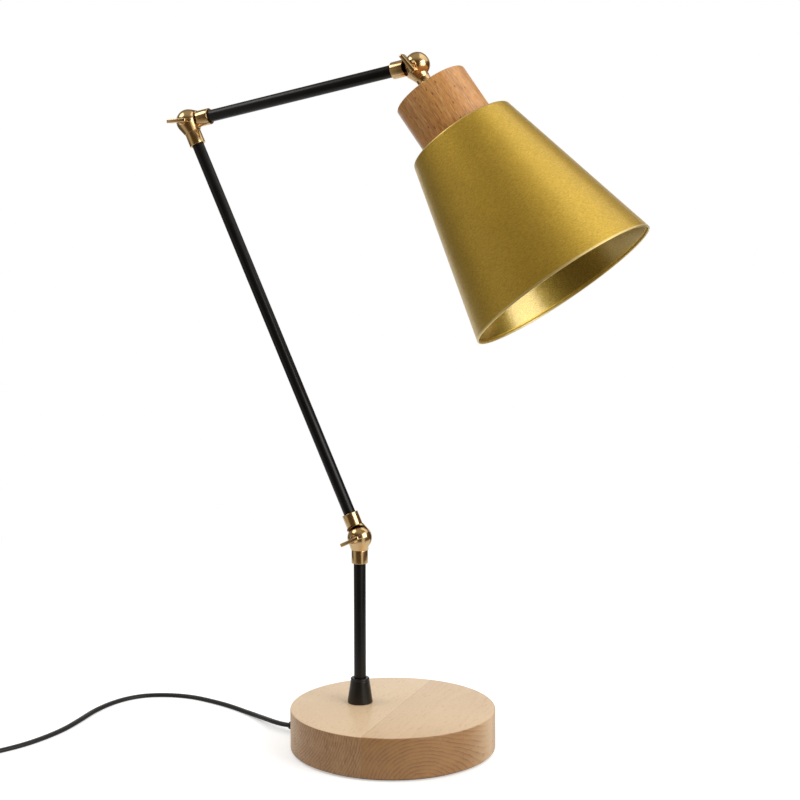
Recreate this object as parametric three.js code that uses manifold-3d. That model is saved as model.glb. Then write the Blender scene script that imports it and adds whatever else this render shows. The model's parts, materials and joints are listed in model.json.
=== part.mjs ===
// Desk lamp with a turned wooden base, a stem and two black tube arms,
// three split-ball joints with wing screws, a wooden cap and a conical shade.
// Millimetres, +Z up. The origin is the centre of the base's underside.
// The arms swing in the XZ plane, with the head towards +X; the joints' axes lie along Y.

import * as THREE from "three";
import { mergeVertices } from "three/addons/utils/BufferGeometryUtils.js";
import Module from "manifold-3d";

const wasm = await Module();
wasm.setup();

// Fits shared by all pieces

const seat_gap = 0.25;
const slide_fit = 0.15;
const wire_fit = 0.3;
const overrun = 1;
const weld_distance = 1e-4;

// Counts and angles shared by all pieces

const fine_steps = 40;
const round_steps = 20;
const small_steps = 8;
const edge_steps = 2;
const ball_steps = 4;
const corner_steps = 2;
const hexagon = 6;
const quarter = Math.PI / 2;
const turn = 4 * quarter;
const right_angle_degrees = 90;
const middle_share = 0.5;
const sides = [-1, 1];

// Base

const base_diameter = 170;
const base_height = 33.5;
const base_edge_round = 1.2;
const pad_inset = 4;
const pad_thickness = 1.5;
const recess_wall = 24;
const recess_depth = 20;

// Stem and its fixing in the base; the stem stands this far in from the base's edge

const stem_inset = 55;
const tube_diameter = 10;
const tube_wall = 0.8;
const cone_low_diameter = 21;
const cone_top_diameter = 15.6;
const cone_height = 21;
const cone_edge = 0.8;
const stem_washer_diameter = 24;
const stem_washer_thickness = 1.5;
const stem_nut_width = 15;
const stem_nut_height = 5;
const stem_tail = 2;

// Weight plate under the wood

const weight_thickness = 8;
const weight_rim_clearance = 1.5;
const weight_nut_clearance = 1.5;
const weight_screw_inset = 15;
const weight_screw_count = 3;
const weight_screw_diameter = 4;
const weight_screw_length = 15;
const weight_screw_head_diameter = 7.6;
const weight_screw_head_height = 2.6;
const screw_slot_width = 1;
const screw_slot_depth = 1.1;

// Cord's way through the base: gland, clamp, terminal block and the thin leads

const cord_width = 5.2;
const cord_height = 3.2;
const cord_exit_height = 6.2;
const slot_clearance = 0.5;
const gland_body_radius = 4.3;
const gland_flange_radius = 5.4;
const gland_flange_thickness = 0.9;
const gland_tip_radius = 3.3;
const gland_inner_length = 11;
const gland_outer_length = 12;
const clamp_length = 20;
const clamp_width = 8;
const clamp_corner = 2;
const clamp_thickness = 2.4;
const clamp_screw_spacing = 13;
const clamp_screw_diameter = 3;
const clamp_screw_length = 9;
const clamp_screw_head_diameter = 5;
const clamp_screw_head_height = 1.2;
const terminal_length = 15;
const terminal_width = 16;
const terminal_height = 9;
const terminal_corner = 1;
const terminal_hole_diameter = 4;
const terminal_hole_spacing = 8;
const terminal_hole_depth = 4.5;
const lead_radius = 1.4;
const lead_offset = 2.4;
const lead_straight = 2;
const lead_bend_radius = 9;
const lead_shift_length = 36;
const lead_sides = 6;
const stem_lead_steps = 30;
const arm_lead_steps = 12;
const head_lead_steps = 10;

// Split-ball joint

const ball_radius = 10.2;
const ball_wall = 2.6;
const hub_radius = 3.4;
const joint_washer_thickness = 0.6;
const joint_washer_width = 2.2;
const collar_radius = 6.8;
const collar_chamfer = 0.6;
const scoop_clearance = 1.1;
const tube_seat_clearance = 0.6;
const socket_length = 10.7;
const shank_radius = 2;
const blind_skin = 1.5;

// Wing screw; a tilt is the angle at which each one was left, from lower to upper joint

const wing_width = 18;
const wing_height = 8.4;
const wing_thickness = 3;
const wing_corner = 2.6;
const wing_boss_radius = 3.5;
const wing_boss_tip_radius = 2.4;
const wing_boss_height = 4;
const wing_tilts = [26.5, 3.5, -47].map(THREE.MathUtils.degToRad);

// Arms and head: lengths from joint to joint, and the angles at which they stand

const stem_pivot_height = 175.2;
const lower_arm_length = 377.1;
const lower_arm_lean = THREE.MathUtils.degToRad(24.77);
const upper_arm_length = 213.3;
const upper_arm_rise = THREE.MathUtils.degToRad(10.97);
const head_drop = THREE.MathUtils.degToRad(53.6);
const neck_shift = 2.6;

// Wooden cap and the threaded nipple that clamps it to the neck

const neck_washer_diameter = 17;
const neck_washer_thickness = 0.8;
const cap_diameter = 62.8;
const cap_length = 43.6;
const cap_roof = 8;
const cap_pocket_diameter = 48;
const cap_edge_round = 1;
const nipple_diameter = 10;
const nipple_wall = 1;
const nipple_overhang = 11;

// Lampholder, clamped to the shade's top plate

const holder_cap_diameter = 43;
const holder_cap_length = 20;
const holder_cap_round = 6;
const holder_wall = 2.4;
const holder_shell_diameter = 44.6;
const holder_skirt_diameter = 39.6;
const holder_skirt_length = 16;
const holder_bore_diameter = 30.6;
const insert_thickness = 5;
const tongue_width = 8;
const tongue_length = 20;
const tongue_thickness = 0.8;
const tongue_height = 3;
const tongue_foot_share = 0.25;
const tongue_rise_share = 0.4;
const tongue_tip_share = 0.75;
const screw_shell_diameter = 28;
const screw_shell_wall = 0.5;
const screw_shell_length = 22;
const shade_ring_diameter = 55;
const shade_ring_flange = 2;
const shade_ring_height = 8;
const shade_ring_wall = 4;

// Shade

const shade_top_diameter = 89.6;
const shade_mouth_diameter = 158.6;
const shade_length = 144.4;
const shade_wall = 0.9;
const shade_shoulder_radius = 3;
const shade_rim_thickness = 1.9;
const shade_rim_height = 2;
const shade_rim_edge = 0.5;

// Bulb

const bulb_tip_diameter = 10;
const bulb_tip_height = 2.4;
const bulb_tip_edge = 1.2;
const bulb_cap_diameter = 26.4;
const bulb_cap_length = 24;
const bulb_cap_shoulder = 4;
const bulb_diameter = 60;
const bulb_glass_length = 84;
const bulb_glass_wall = 1.2;
const bulb_neck_diameter = 25;
const bulb_neck_length = 14;
const bulb_belly_angle = THREE.MathUtils.degToRad(35);

// In-line switch

const switch_length = 62;
const switch_width = 26;
const switch_height = 19;
const switch_split_height = 9.5;
const switch_cord_height = 6;
const switch_nose_width = 11;
const switch_nose_length = 13;
const switch_edge = 1.6;
const switch_wall = 2.2;
const switch_floor = 4.4;
const switch_post_radius = 3;
const switch_screw_spacing = 36;
const switch_screw_diameter = 3;
const switch_screw_length = 11;
const switch_screw_head_diameter = 5.2;
const switch_screw_head_height = 1.4;
const switch_screw_sink = 1.4;
const rocker_length = 20;
const rocker_width = 11;
const rocker_rise = 1.5;
const rocker_depth = 4.6;
const rocker_clearance = 0.7;
const rocker_tilt = THREE.MathUtils.degToRad(3.5);

// Coil, tie and plug

const coil_turns_per_layer = 3.625;
const coil_climb_turns = 0.5;
const coil_mean_radius = 28.6;
const coil_turn_gap = 0.6;
const coil_layer_gap = 0.6;
const coil_steps_per_turn = 24;
const coil_sides = 6;
const coil_start_angle = 2 * quarter;
const tie_width = 9;
const tie_thickness = 1.1;
const tie_clearance = 0.7;
const plug_length = 34;
const plug_width = 27;
const plug_height = 13.5;
const plug_corner = 4;
const plug_nose_width = 11.4;
const plug_nose_length = 12;
const pin_diameter = 4;
const pin_length = 19;
const pin_spacing = 18.6;
const pin_seat = 3;
const pin_edge = 1;
const tail_length = 36.4;
const cord_sides = 8;
const cord_lead_steps = 36;
const cord_middle_steps = 8;
const cord_tail_steps = 8;

// The cord's route over the table, chosen by hand; the height is that of its centre.
// It leaves the gland at its tip and ends at the switch.

const lie = cord_height / 2;
const gland_tip = base_diameter / 2 + gland_outer_length;
const lead_route = [
  [-gland_tip - wire_fit, 0, cord_exit_height], [-99.5, 0, 6.2], [-105, 0.9, 6.1], [-114, 4.7, 5.6],
  [-125, 11.6, 4.5], [-139, 20.9, 2.9], [-160.2, 32.4, lie], [-181.5, 41, lie], [-201.9, 46.6, lie],
  [-221.2, 49.8, lie], [-238, 48.5, lie], [-252.7, 43.7, lie], [-265.3, 35.4, lie], [-274.4, 21.9, lie],
  [-279.6, 2.9, lie], [-280.5, -22.2, lie], [-277.5, -48, lie], [-275.4, -74, lie], [-277, -99, lie],
  [-282, -123, lie], [-290.5, -144, lie], [-296.9, -155, 3.3], [-301.4, -162.8, 5.6],
  [-303.4, -166.3, switch_cord_height], [-304.4, -168, switch_cord_height],
].map((point) => new THREE.Vector3(...point));
const coil_entry = new THREE.Vector3(-341, -252, lie);

// Materials, with the colours that the lamp has

function paint(name, color, roughness, metalness) {
  const material = new THREE.MeshStandardMaterial({ color, roughness, metalness });
  material.name = name;
  return material;
}

const beech = paint("beech", 0xd9b78e, 0.45, 0);
const red_beech = paint("steamed beech", 0xb8763f, 0.5, 0);
const brass = paint("brass", 0xc9a868, 0.28, 1);
const black_coat = paint("black coat", 0x17171a, 0.6, 0);
const black_plastic = paint("black plastic", 0x141415, 0.5, 0);
const gold_coat = paint("gold coat", 0xa48a2c, 0.38, 0.6);
const steel = paint("steel", 0x9a9da0, 0.35, 1);
const felt = paint("foam pad", 0x2a2a2b, 0.95, 0);
const ceramic = paint("ceramic", 0xe6e2d8, 0.4, 0);
const glass = paint("opal glass", 0xf4f1ea, 0.25, 0);
const fibre = paint("fibre washer", 0x1f1d1b, 0.8, 0);
const cord_black = paint("cord", 0x151515, 0.55, 0);

// Solids: closed geometries, turned into manifolds for cutting and joining

function manifoldOf(vertProperties, triVerts) {
  return new wasm.Manifold(new wasm.Mesh({ numProp: 3, vertProperties, triVerts }));
}

// A closed geometry whose faces may point in is turned inside out
function solid(geometry) {
  const shell = geometry.clone();
  shell.deleteAttribute("normal");
  shell.deleteAttribute("uv");
  const welded = mergeVertices(shell, weld_distance);
  const points = new Float32Array(welded.attributes.position.array);
  const corners = new Uint32Array(welded.index.array);
  const body = manifoldOf(points, corners);
  return body.volume() > 0 ? body : manifoldOf(points, corners.reverse());
}

function geometryOf(body) {
  const { vertProperties, triVerts } = body.getMesh();
  const geometry = new THREE.BufferGeometry();
  geometry.setAttribute("position", new THREE.BufferAttribute(new Float32Array(vertProperties), 3));
  geometry.setIndex(new THREE.BufferAttribute(new Uint32Array(triVerts), 1));
  geometry.computeVertexNormals();
  return geometry;
}

function piece(name, body, material, parent) {
  const mesh = new THREE.Mesh(geometryOf(body), material);
  mesh.name = name;
  parent.add(mesh);
  return mesh;
}

// A solid turned about Z from its outline of [radius, height] points
function turnedSolid(outline, steps = round_steps) {
  const points = outline.map(([r, h]) => new THREE.Vector2(r < weld_distance ? 0 : r, h));
  const geometry = new THREE.LatheGeometry(points, steps);
  geometry.rotateX(quarter);
  return solid(geometry);
}

function rod(radius, low, high, steps = small_steps) {
  return turnedSolid([[0, low], [radius, low], [radius, high], [0, high]], steps);
}

// Radius of a polygon's corners where its flats lie at the given radius
function cornerRadius(radius, count) {
  return radius / Math.cos(turn / 2 / count);
}

// A round hole's cutter, whose flats touch the radius so that the hole is never too small
function bore(radius, low, high, steps = small_steps) {
  return rod(cornerRadius(radius, steps), low, high, steps);
}

function ring(inner, outer, low, high, steps = round_steps) {
  const r = cornerRadius(inner, steps);
  return turnedSolid([[r, low], [outer, low], [outer, high], [r, high], [r, low]], steps);
}

function block([x0, y0, z0], [x1, y1, z1]) {
  const geometry = new THREE.BoxGeometry(x1 - x0, y1 - y0, z1 - z0);
  geometry.translate((x0 + x1) / 2, (y0 + y1) / 2, (z0 + z1) / 2);
  return solid(geometry);
}

// An outline in the XY plane raised from one height to another
function raised(shape, low, high) {
  const settings = { depth: high - low, bevelEnabled: false, curveSegments: corner_steps };
  const geometry = new THREE.ExtrudeGeometry(shape, settings);
  geometry.translate(0, 0, low);
  return solid(geometry);
}

function roundedRectangle(length, width, corner) {
  const x = length / 2 - corner;
  const y = width / 2 - corner;
  const shape = new THREE.Shape();
  shape.absarc(x, -y, corner, -quarter, 0);
  shape.absarc(x, y, corner, 0, quarter);
  shape.absarc(-x, y, corner, quarter, 2 * quarter);
  shape.absarc(-x, -y, corner, 2 * quarter, 3 * quarter);
  return shape;
}

// A body carried along a curve, with a round or flattened section
function swept(curve, width, height, count, steps) {
  const corners = Array.from({ length: count }, (_, i) => {
    const angle = ((i + middle_share) / count) * turn;
    const x = cornerRadius(height / 2, count) * Math.cos(angle);
    const y = cornerRadius(width / 2, count) * Math.sin(angle);
    return new THREE.Vector2(x, y);
  });
  const section = new THREE.Shape(corners);
  return solid(new THREE.ExtrudeGeometry(section, { steps, extrudePath: curve, bevelEnabled: false }));
}

function arcPoints(radius, from, to, steps, centre_r, centre_h) {
  return Array.from({ length: steps + 1 }, (_, i) => {
    const angle = from + ((to - from) * i) / steps;
    return [centre_r + radius * Math.cos(angle), centre_h + radius * Math.sin(angle)];
  });
}

function straightStretches(points) {
  const path = new THREE.CurvePath();
  points.slice(1).forEach((point, i) => path.add(new THREE.LineCurve3(points[i], point)));
  return path;
}

// A solid's +Z turned to +X or +Y, or to -X or -Y where the side is -1
function alongX(body, side = 1) {
  return body.rotate([0, side * right_angle_degrees, 0]);
}

function alongY(body, side = 1) {
  return body.rotate([-side * right_angle_degrees, 0, 0]);
}

function turnedGroup(place, heading, parent) {
  const group = new THREE.Group();
  group.position.copy(place);
  group.rotation.y = heading;
  parent.add(group);
  return group;
}

const lamp = new THREE.Group();
lamp.name = "desk_lamp";

// Base: heights and places of the wood, its weight plate, pad and fixings

const base_radius = base_diameter / 2;
const stem_offset = stem_inset - base_radius;
const pad_radius = base_radius - pad_inset;
const recess_radius = base_radius - recess_wall;
const weight_screw_radius = recess_radius - weight_screw_inset;
const base_top = pad_thickness + base_height;
const recess_ceiling = pad_thickness + recess_depth;
const weight_top = recess_ceiling - seat_gap;
const weight_floor = weight_top - weight_thickness;
const stem_hole_radius = tube_diameter / 2 + slide_fit;
const stem_washer_top = recess_ceiling - seat_gap;
const stem_nut_top = stem_washer_top - stem_washer_thickness - seat_gap;
const stem_bottom = stem_nut_top - stem_nut_height - stem_tail;
const gland_inner = base_radius - gland_inner_length;
const clamp_ceiling = cord_exit_height - cord_height / 2;
const clamp_top = clamp_ceiling - seat_gap;
const clamp_floor = clamp_top - clamp_thickness;
const clamp_x = -(recess_radius + gland_inner) / 2;
const terminal_top = weight_floor - seat_gap;
const terminal_floor = terminal_top - terminal_height;
const terminal_x = stem_offset - lead_bend_radius - lead_straight - terminal_length / 2;

function weightScrewPlace(index) {
  const angle = quarter + (index * turn) / weight_screw_count;
  return [weight_screw_radius * Math.cos(angle), weight_screw_radius * Math.sin(angle), 0];
}

function clampScrewPlace(side) {
  return [clamp_x, (side * clamp_screw_spacing) / 2, 0];
}

function cordSlot() {
  const half_width = cord_width / 2 + slot_clearance;
  const top = cord_exit_height + cord_height / 2 + slot_clearance;
  return block(
    [-gland_inner - overrun, -half_width, pad_thickness - overrun],
    [-recess_radius + weight_rim_clearance, half_width, top],
  );
}

// The gland drops into a hole that is open towards the underside
function glandHole() {
  const radius = gland_body_radius + slide_fit;
  const from = gland_inner - seat_gap;
  const to = base_radius + overrun;
  const round = alongX(bore(radius, from, to), -1).translate([0, 0, cord_exit_height]);
  const mouth = block([-to, -radius, pad_thickness - overrun], [-from, radius, cord_exit_height]);
  return round.add(mouth);
}

function clampPocket() {
  const half_width = clamp_width / 2 + seat_gap;
  const half_length = clamp_length / 2 + seat_gap;
  return block(
    [clamp_x - half_width, -half_length, pad_thickness - overrun],
    [clamp_x + half_width, half_length, clamp_ceiling],
  );
}

function woodBlank() {
  const r = base_radius - base_edge_round;
  const e = base_edge_round;
  return turnedSolid([
    [0, pad_thickness], ...arcPoints(e, -quarter, 0, edge_steps, r, pad_thickness + e),
    ...arcPoints(e, 0, quarter, edge_steps, r, base_top - e), [0, base_top],
  ], fine_steps);
}

function baseDisc() {
  const stem_hole = bore(stem_hole_radius, pad_thickness, base_top + overrun, round_steps);
  let wood = woodBlank().subtract(rod(recess_radius, pad_thickness - overrun, recess_ceiling, fine_steps));
  wood = wood.subtract(stem_hole.translate([stem_offset, 0, 0]));
  wood = wood.subtract(cordSlot()).subtract(glandHole()).subtract(clampPocket());
  for (let i = 0; i < weight_screw_count; i += 1) {
    const end = weight_floor + weight_screw_length + seat_gap;
    const hole = bore(weight_screw_diameter / 2 + slide_fit, recess_ceiling - overrun, end);
    wood = wood.subtract(hole.translate(weightScrewPlace(i)));
  }
  for (const side of sides) {
    const end = clamp_floor + clamp_screw_length + seat_gap;
    const hole = bore(clamp_screw_diameter / 2 + slide_fit, clamp_ceiling - overrun, end);
    wood = wood.subtract(hole.translate(clampScrewPlace(side)));
  }
  return wood;
}

function countersink() {
  const shaft = weight_screw_diameter / 2 + slide_fit;
  const head = weight_screw_head_diameter / 2 + slide_fit;
  const shoulder = weight_floor + weight_screw_head_height;
  const low = weight_floor - overrun;
  const high = weight_top + overrun;
  return turnedSolid([
    [0, low], [head, low], [head, weight_floor], [shaft, shoulder], [shaft, high], [0, high],
  ], small_steps);
}

function weightPlate() {
  const opening = stem_washer_diameter / 2 + weight_nut_clearance;
  const hole = bore(opening, weight_floor - overrun, weight_top + overrun, round_steps);
  let plate = rod(recess_radius - weight_rim_clearance, weight_floor, weight_top, fine_steps);
  plate = plate.subtract(hole.translate([stem_offset, 0, 0]));
  for (let i = 0; i < weight_screw_count; i += 1) {
    plate = plate.subtract(countersink().translate(weightScrewPlace(i)));
  }
  return plate;
}

// Countersunk, with its slotted head's face flush with the plate's underside
function weightScrew() {
  const shaft = weight_screw_diameter / 2;
  const head = weight_screw_head_diameter / 2;
  const low = weight_floor;
  const tip = low + weight_screw_length;
  const shoulder = low + weight_screw_head_height - seat_gap;
  const slot_length = head + overrun;
  const slot = block(
    [-slot_length, -screw_slot_width / 2, low - overrun],
    [slot_length, screw_slot_width / 2, low + screw_slot_depth],
  );
  const outline = [[0, low], [head, low], [shaft, shoulder], [shaft, tip - shaft], [0, tip]];
  return turnedSolid(outline, small_steps).subtract(slot);
}

// A screw with a flat round head at the bottom, pointing up
function panScrew(low, length, diameter, head_diameter, head_height) {
  const shaft = diameter / 2;
  const head = head_diameter / 2;
  const edge = head_height / 2;
  const tip = low + length;
  const slot_width = diameter / 4;
  const slot = block([-head, -slot_width / 2, low - overrun], [head, slot_width / 2, low + edge]);
  return turnedSolid([
    [0, low], [head - edge, low], [head, low + edge], [head, low + head_height], [shaft, low + head_height],
    [shaft, tip - shaft], [0, tip],
  ], small_steps).subtract(slot);
}

function stemNut() {
  const low = stem_nut_top - stem_nut_height;
  const nut = rod(cornerRadius(stem_nut_width / 2, hexagon), low, stem_nut_top, hexagon);
  return nut.subtract(bore(stem_hole_radius, low - overrun, stem_nut_top + overrun, round_steps));
}

function stemCone() {
  const inner = cornerRadius(stem_hole_radius, round_steps);
  const low = base_top + seat_gap;
  const top = low + cone_height;
  return turnedSolid([
    [inner, low], [cone_low_diameter / 2 - cone_edge, low], [cone_low_diameter / 2, low + cone_edge],
    [cone_top_diameter / 2, top - cone_edge], [cone_top_diameter / 2 - cone_edge, top],
    [inner, top], [inner, low],
  ]);
}

function tube(low, high) {
  return ring(tube_diameter / 2 - tube_wall, tube_diameter / 2, low, high);
}

function gland() {
  const flange_start = base_radius + seat_gap;
  const flange_end = flange_start + gland_flange_thickness;
  const body = turnedSolid([
    [0, gland_inner], [gland_body_radius, gland_inner], [gland_body_radius, flange_start],
    [gland_flange_radius, flange_start], [gland_flange_radius, flange_end], [gland_body_radius, flange_end],
    [gland_tip_radius, gland_tip], [0, gland_tip],
  ], small_steps);
  return alongX(body, -1).translate([0, 0, cord_exit_height]);
}

function clampBar() {
  const outline = roundedRectangle(clamp_width, clamp_length, clamp_corner);
  let bar = raised(outline, clamp_floor, clamp_top).translate([clamp_x, 0, 0]);
  for (const side of sides) {
    const hole = bore(clamp_screw_diameter / 2 + slide_fit, clamp_floor - overrun, clamp_ceiling);
    const sink_end = clamp_floor + clamp_screw_head_height;
    const sink = bore(clamp_screw_head_diameter / 2 + slide_fit, clamp_floor - overrun, sink_end);
    bar = bar.subtract(hole.add(sink).translate(clampScrewPlace(side)));
  }
  return bar;
}

// The cord's inner end, from the gland past the clamp to the terminal block
function innerFlex() {
  const from = new THREE.Vector3(-gland_inner + wire_fit, 0, cord_exit_height);
  const to = new THREE.Vector3(terminal_x - terminal_length / 2 - wire_fit, 0, cord_exit_height);
  return swept(new THREE.LineCurve3(from, to), cord_width, cord_height, cord_sides, 1);
}

function terminalBlock() {
  const outline = roundedRectangle(terminal_length, terminal_width, terminal_corner);
  let body = raised(outline, terminal_floor, terminal_top);
  for (const side of sides) {
    const end = terminal_floor + terminal_hole_depth;
    const hole = rod(terminal_hole_diameter / 2, terminal_floor - overrun, end);
    body = body.subtract(hole.translate([0, (side * terminal_hole_spacing) / 2, 0]));
  }
  return body.translate([terminal_x, 0, 0]);
}

function lead(path, steps) {
  return swept(path, 2 * lead_radius, 2 * lead_radius, lead_sides, steps);
}

// The lead from the terminal block round a bend and up the stem, towards its front side
function stemLead() {
  const low = terminal_floor + lead_radius + wire_fit;
  const top = stem_pivot_height - hub_radius - lead_radius;
  const start = new THREE.Vector3(terminal_x + terminal_length / 2 + wire_fit, 0, low);
  const bend_start = new THREE.Vector3(stem_offset - lead_bend_radius, 0, low);
  const corner = new THREE.Vector3(stem_offset, 0, low);
  const bend_end = new THREE.Vector3(stem_offset, 0, low + lead_bend_radius);
  const shifted = new THREE.Vector3(stem_offset, -lead_offset, bend_end.z + lead_shift_length);
  const end = new THREE.Vector3(stem_offset, -lead_offset, top);
  const path = new THREE.CurvePath();
  path.add(new THREE.LineCurve3(start, bend_start));
  path.add(new THREE.QuadraticBezierCurve3(bend_start, corner, bend_end));
  path.add(new THREE.LineCurve3(bend_end, shifted));
  path.add(new THREE.LineCurve3(shifted, end));
  return lead(path, stem_lead_steps);
}

function buildWeight() {
  piece("base_weight", weightPlate(), steel, lamp);
  for (let i = 0; i < weight_screw_count; i += 1) {
    piece(`weight_screw_${i + 1}`, weightScrew().translate(weightScrewPlace(i)), steel, lamp);
  }
}

function buildStem() {
  const place = [stem_offset, 0, 0];
  const washer_low = stem_washer_top - stem_washer_thickness;
  const washer = ring(stem_hole_radius, stem_washer_diameter / 2, washer_low, stem_washer_top);
  piece("stem_washer", washer.translate(place), steel, lamp);
  piece("stem_nut", stemNut().translate(place), steel, lamp);
  piece("stem_cone", stemCone().translate(place), black_plastic, lamp);
  const top = stem_pivot_height - tube_seat - seat_gap;
  piece("stem_tube", tube(stem_bottom, top).translate(place), black_coat, lamp);
  piece("stem_lead", stemLead(), cord_black, lamp);
}

function buildCordEntry() {
  piece("cord_gland", gland(), black_plastic, lamp);
  piece("cord_clamp", clampBar(), steel, lamp);
  sides.forEach((side, i) => {
    const screw = panScrew(clamp_floor, clamp_screw_length, clamp_screw_diameter,
      clamp_screw_head_diameter, clamp_screw_head_height - seat_gap);
    piece(`clamp_screw_${i + 1}`, screw.translate(clampScrewPlace(side)), steel, lamp);
  });
  piece("inner_flex", innerFlex(), cord_black, lamp);
  piece("terminal_block", terminalBlock(), ceramic, lamp);
}

// Split-ball joints: each half is a hollow half ball with a collar along its +Z.
// The front half lies on the side of -Y, towards the wing screw; the back half on +Y.

const mating_gap = joint_washer_thickness / 2 + seat_gap;
const hollow_radius = ball_radius - ball_wall;
const scoop_radius = ball_radius + scoop_clearance;
const tube_seat = ball_radius + tube_seat_clearance;
const collar_reach = tube_seat + socket_length;
const blind_end = ball_radius - blind_skin;

function halfBall() {
  const start = Math.asin(mating_gap / ball_radius);
  return turnedSolid([[0, mating_gap], ...arcPoints(ball_radius, start, quarter, ball_steps, 0, 0)]);
}

// The hollow leaves a hub in the middle for the screw
function halfCavity() {
  const start = Math.asin(mating_gap / hollow_radius);
  const stop = Math.acos(hub_radius / hollow_radius);
  const arc = arcPoints(hollow_radius, start, stop, edge_steps, 0, 0);
  const low = mating_gap - overrun;
  return turnedSolid([[hub_radius, low], [hollow_radius, low], ...arc, [hub_radius, low]], small_steps);
}

// The collar is cut round beside the ball, so that the other half can swing past it
function collar(side, shift) {
  const c = collar_chamfer;
  const r = collar_radius;
  const blank = turnedSolid([
    [0, 0], [r, 0], [r, collar_reach - c], [r - c, collar_reach], [0, collar_reach],
  ]).translate([shift, 0, 0]);
  const scoop = rod(scoop_radius, -collar_radius - overrun, mating_gap, round_steps);
  return blank.subtract(alongY(scoop, side));
}

// side is -1 for the front half and 1 for the back half; shift moves the collar along X
function jointHalf(side, shift) {
  const socket = bore(stem_hole_radius, tube_seat, collar_reach + overrun, round_steps);
  const wire_hole = bore(lead_radius + wire_fit, hub_radius + overrun, tube_seat + overrun);
  const hole_end = side < 0 ? ball_radius + overrun : blind_end;
  const screw_hole = bore(shank_radius + slide_fit, mating_gap - overrun, hole_end);
  let half = alongY(halfBall(), side).add(collar(side, shift));
  half = half.subtract(alongY(halfCavity(), side)).subtract(alongY(screw_hole, side));
  half = half.subtract(socket.translate([shift, 0, 0]));
  return half.subtract(wire_hole.translate([shift, side * lead_offset, 0]));
}

function jointWasher() {
  const outer = ball_radius - seat_gap;
  const half_thickness = joint_washer_thickness / 2;
  return alongY(ring(outer - joint_washer_width, outer, -half_thickness, half_thickness));
}

// The shank runs from the blade through the front half into the back half's blind hole
function wingScrew() {
  const boss_low = ball_radius + seat_gap;
  const boss_high = boss_low + wing_boss_height;
  const shank_end = seat_gap - blind_end;
  const stem = turnedSolid([
    [0, shank_end], [shank_radius, shank_end], [shank_radius, boss_low], [wing_boss_radius, boss_low],
    [wing_boss_tip_radius, boss_high], [0, boss_high],
  ], small_steps);
  const outline = roundedRectangle(wing_width, wing_height, wing_corner);
  const blade = raised(outline, -wing_thickness / 2, wing_thickness / 2);
  const blade_centre = boss_low + (wing_boss_height + wing_height) / 2;
  return alongY(stem, -1).add(blade.translate([0, -blade_centre, 0]));
}

function buildJoint(name, place, front_heading, back_heading, wing_tilt, shift) {
  const front = turnedGroup(place, front_heading, lamp);
  const back = turnedGroup(place, back_heading, lamp);
  const wing = turnedGroup(place, -wing_tilt, lamp);
  piece(`${name}_front_half`, jointHalf(-1, shift), brass, front);
  piece(`${name}_back_half`, jointHalf(1, 0), brass, back);
  piece(`${name}_washer`, jointWasher(), fibre, front);
  piece(`${name}_wing_screw`, wingScrew(), brass, wing);
}

// Places of the joints, and headings: angles about Y that turn +Z along a piece

function onwards(place, heading, distance) {
  const step = new THREE.Vector3(Math.sin(heading), 0, Math.cos(heading));
  return place.clone().addScaledVector(step, distance);
}

const lower_heading = -lower_arm_lean;
const upper_heading = quarter - upper_arm_rise;
const head_heading = quarter + head_drop;
const lower_pivot = new THREE.Vector3(stem_offset, 0, stem_pivot_height);
const middle_pivot = onwards(lower_pivot, lower_heading, lower_arm_length);
const upper_pivot = onwards(middle_pivot, upper_heading, upper_arm_length);

// Arms: a tube between two joints and the lead inside it. The lead starts in the back half of its
// first joint; far_side is 1 where it ends in a back half and -1 where it ends in a front half.

function buildArm(name, from, heading, length, far_side) {
  const arm = turnedGroup(from, heading, lamp);
  const tube_end = tube_seat + seat_gap;
  const lead_end = hub_radius + lead_radius;
  const change = lead_end + lead_shift_length;
  const route = [
    [lead_offset, lead_end], [lead_offset, change],
    [far_side * lead_offset, length - change], [far_side * lead_offset, length - lead_end],
  ].map(([y, z]) => new THREE.Vector3(0, y, z));
  piece(`${name}_tube`, tube(tube_end, length - tube_end), black_coat, arm);
  piece(`${name}_lead`, lead(straightStretches(route), arm_lead_steps), cord_black, arm);
}

// Head: distances run down from the upper joint along the head's axis

const neck_washer_start = collar_reach + seat_gap;
const neck_washer_end = neck_washer_start + neck_washer_thickness;
const cap_start = neck_washer_end + seat_gap;
const cap_end = cap_start + cap_length;
const shade_start = cap_end + seat_gap;
const nipple_start = tube_seat + seat_gap;
const nipple_hole_radius = nipple_diameter / 2 + slide_fit;
const holder_start = cap_start + cap_roof + seat_gap;
const holder_cap_end = holder_start + holder_cap_length;
const nipple_end = holder_start + nipple_overhang;
const shell_start = holder_cap_end + seat_gap;
const skirt_end = cap_end + holder_skirt_length;
const skirt_radius = holder_skirt_diameter / 2;
const insert_start = shell_start + holder_wall;
const insert_end = insert_start + insert_thickness;
const tongue_start = insert_end + seat_gap;
const bulb_tip_start = tongue_start + tongue_height + tongue_thickness + seat_gap;
const bulb_cap_start = bulb_tip_start + bulb_tip_height + seat_gap;
const bulb_glass_start = bulb_cap_start + bulb_cap_length + seat_gap;
const bulb_end = bulb_glass_start + bulb_glass_length;

function woodenCap() {
  const r = cap_diameter / 2 - cap_edge_round;
  const e = cap_edge_round;
  const wood = turnedSolid([
    [0, cap_start], ...arcPoints(e, -quarter, 0, edge_steps, r, cap_start + e),
    ...arcPoints(e, 0, quarter, edge_steps, r, cap_end - e), [0, cap_end],
  ], fine_steps);
  const pocket = bore(cap_pocket_diameter / 2, cap_start + cap_roof, cap_end + overrun, round_steps);
  return wood.subtract(pocket).subtract(bore(nipple_hole_radius, cap_start - overrun, cap_end));
}

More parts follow.
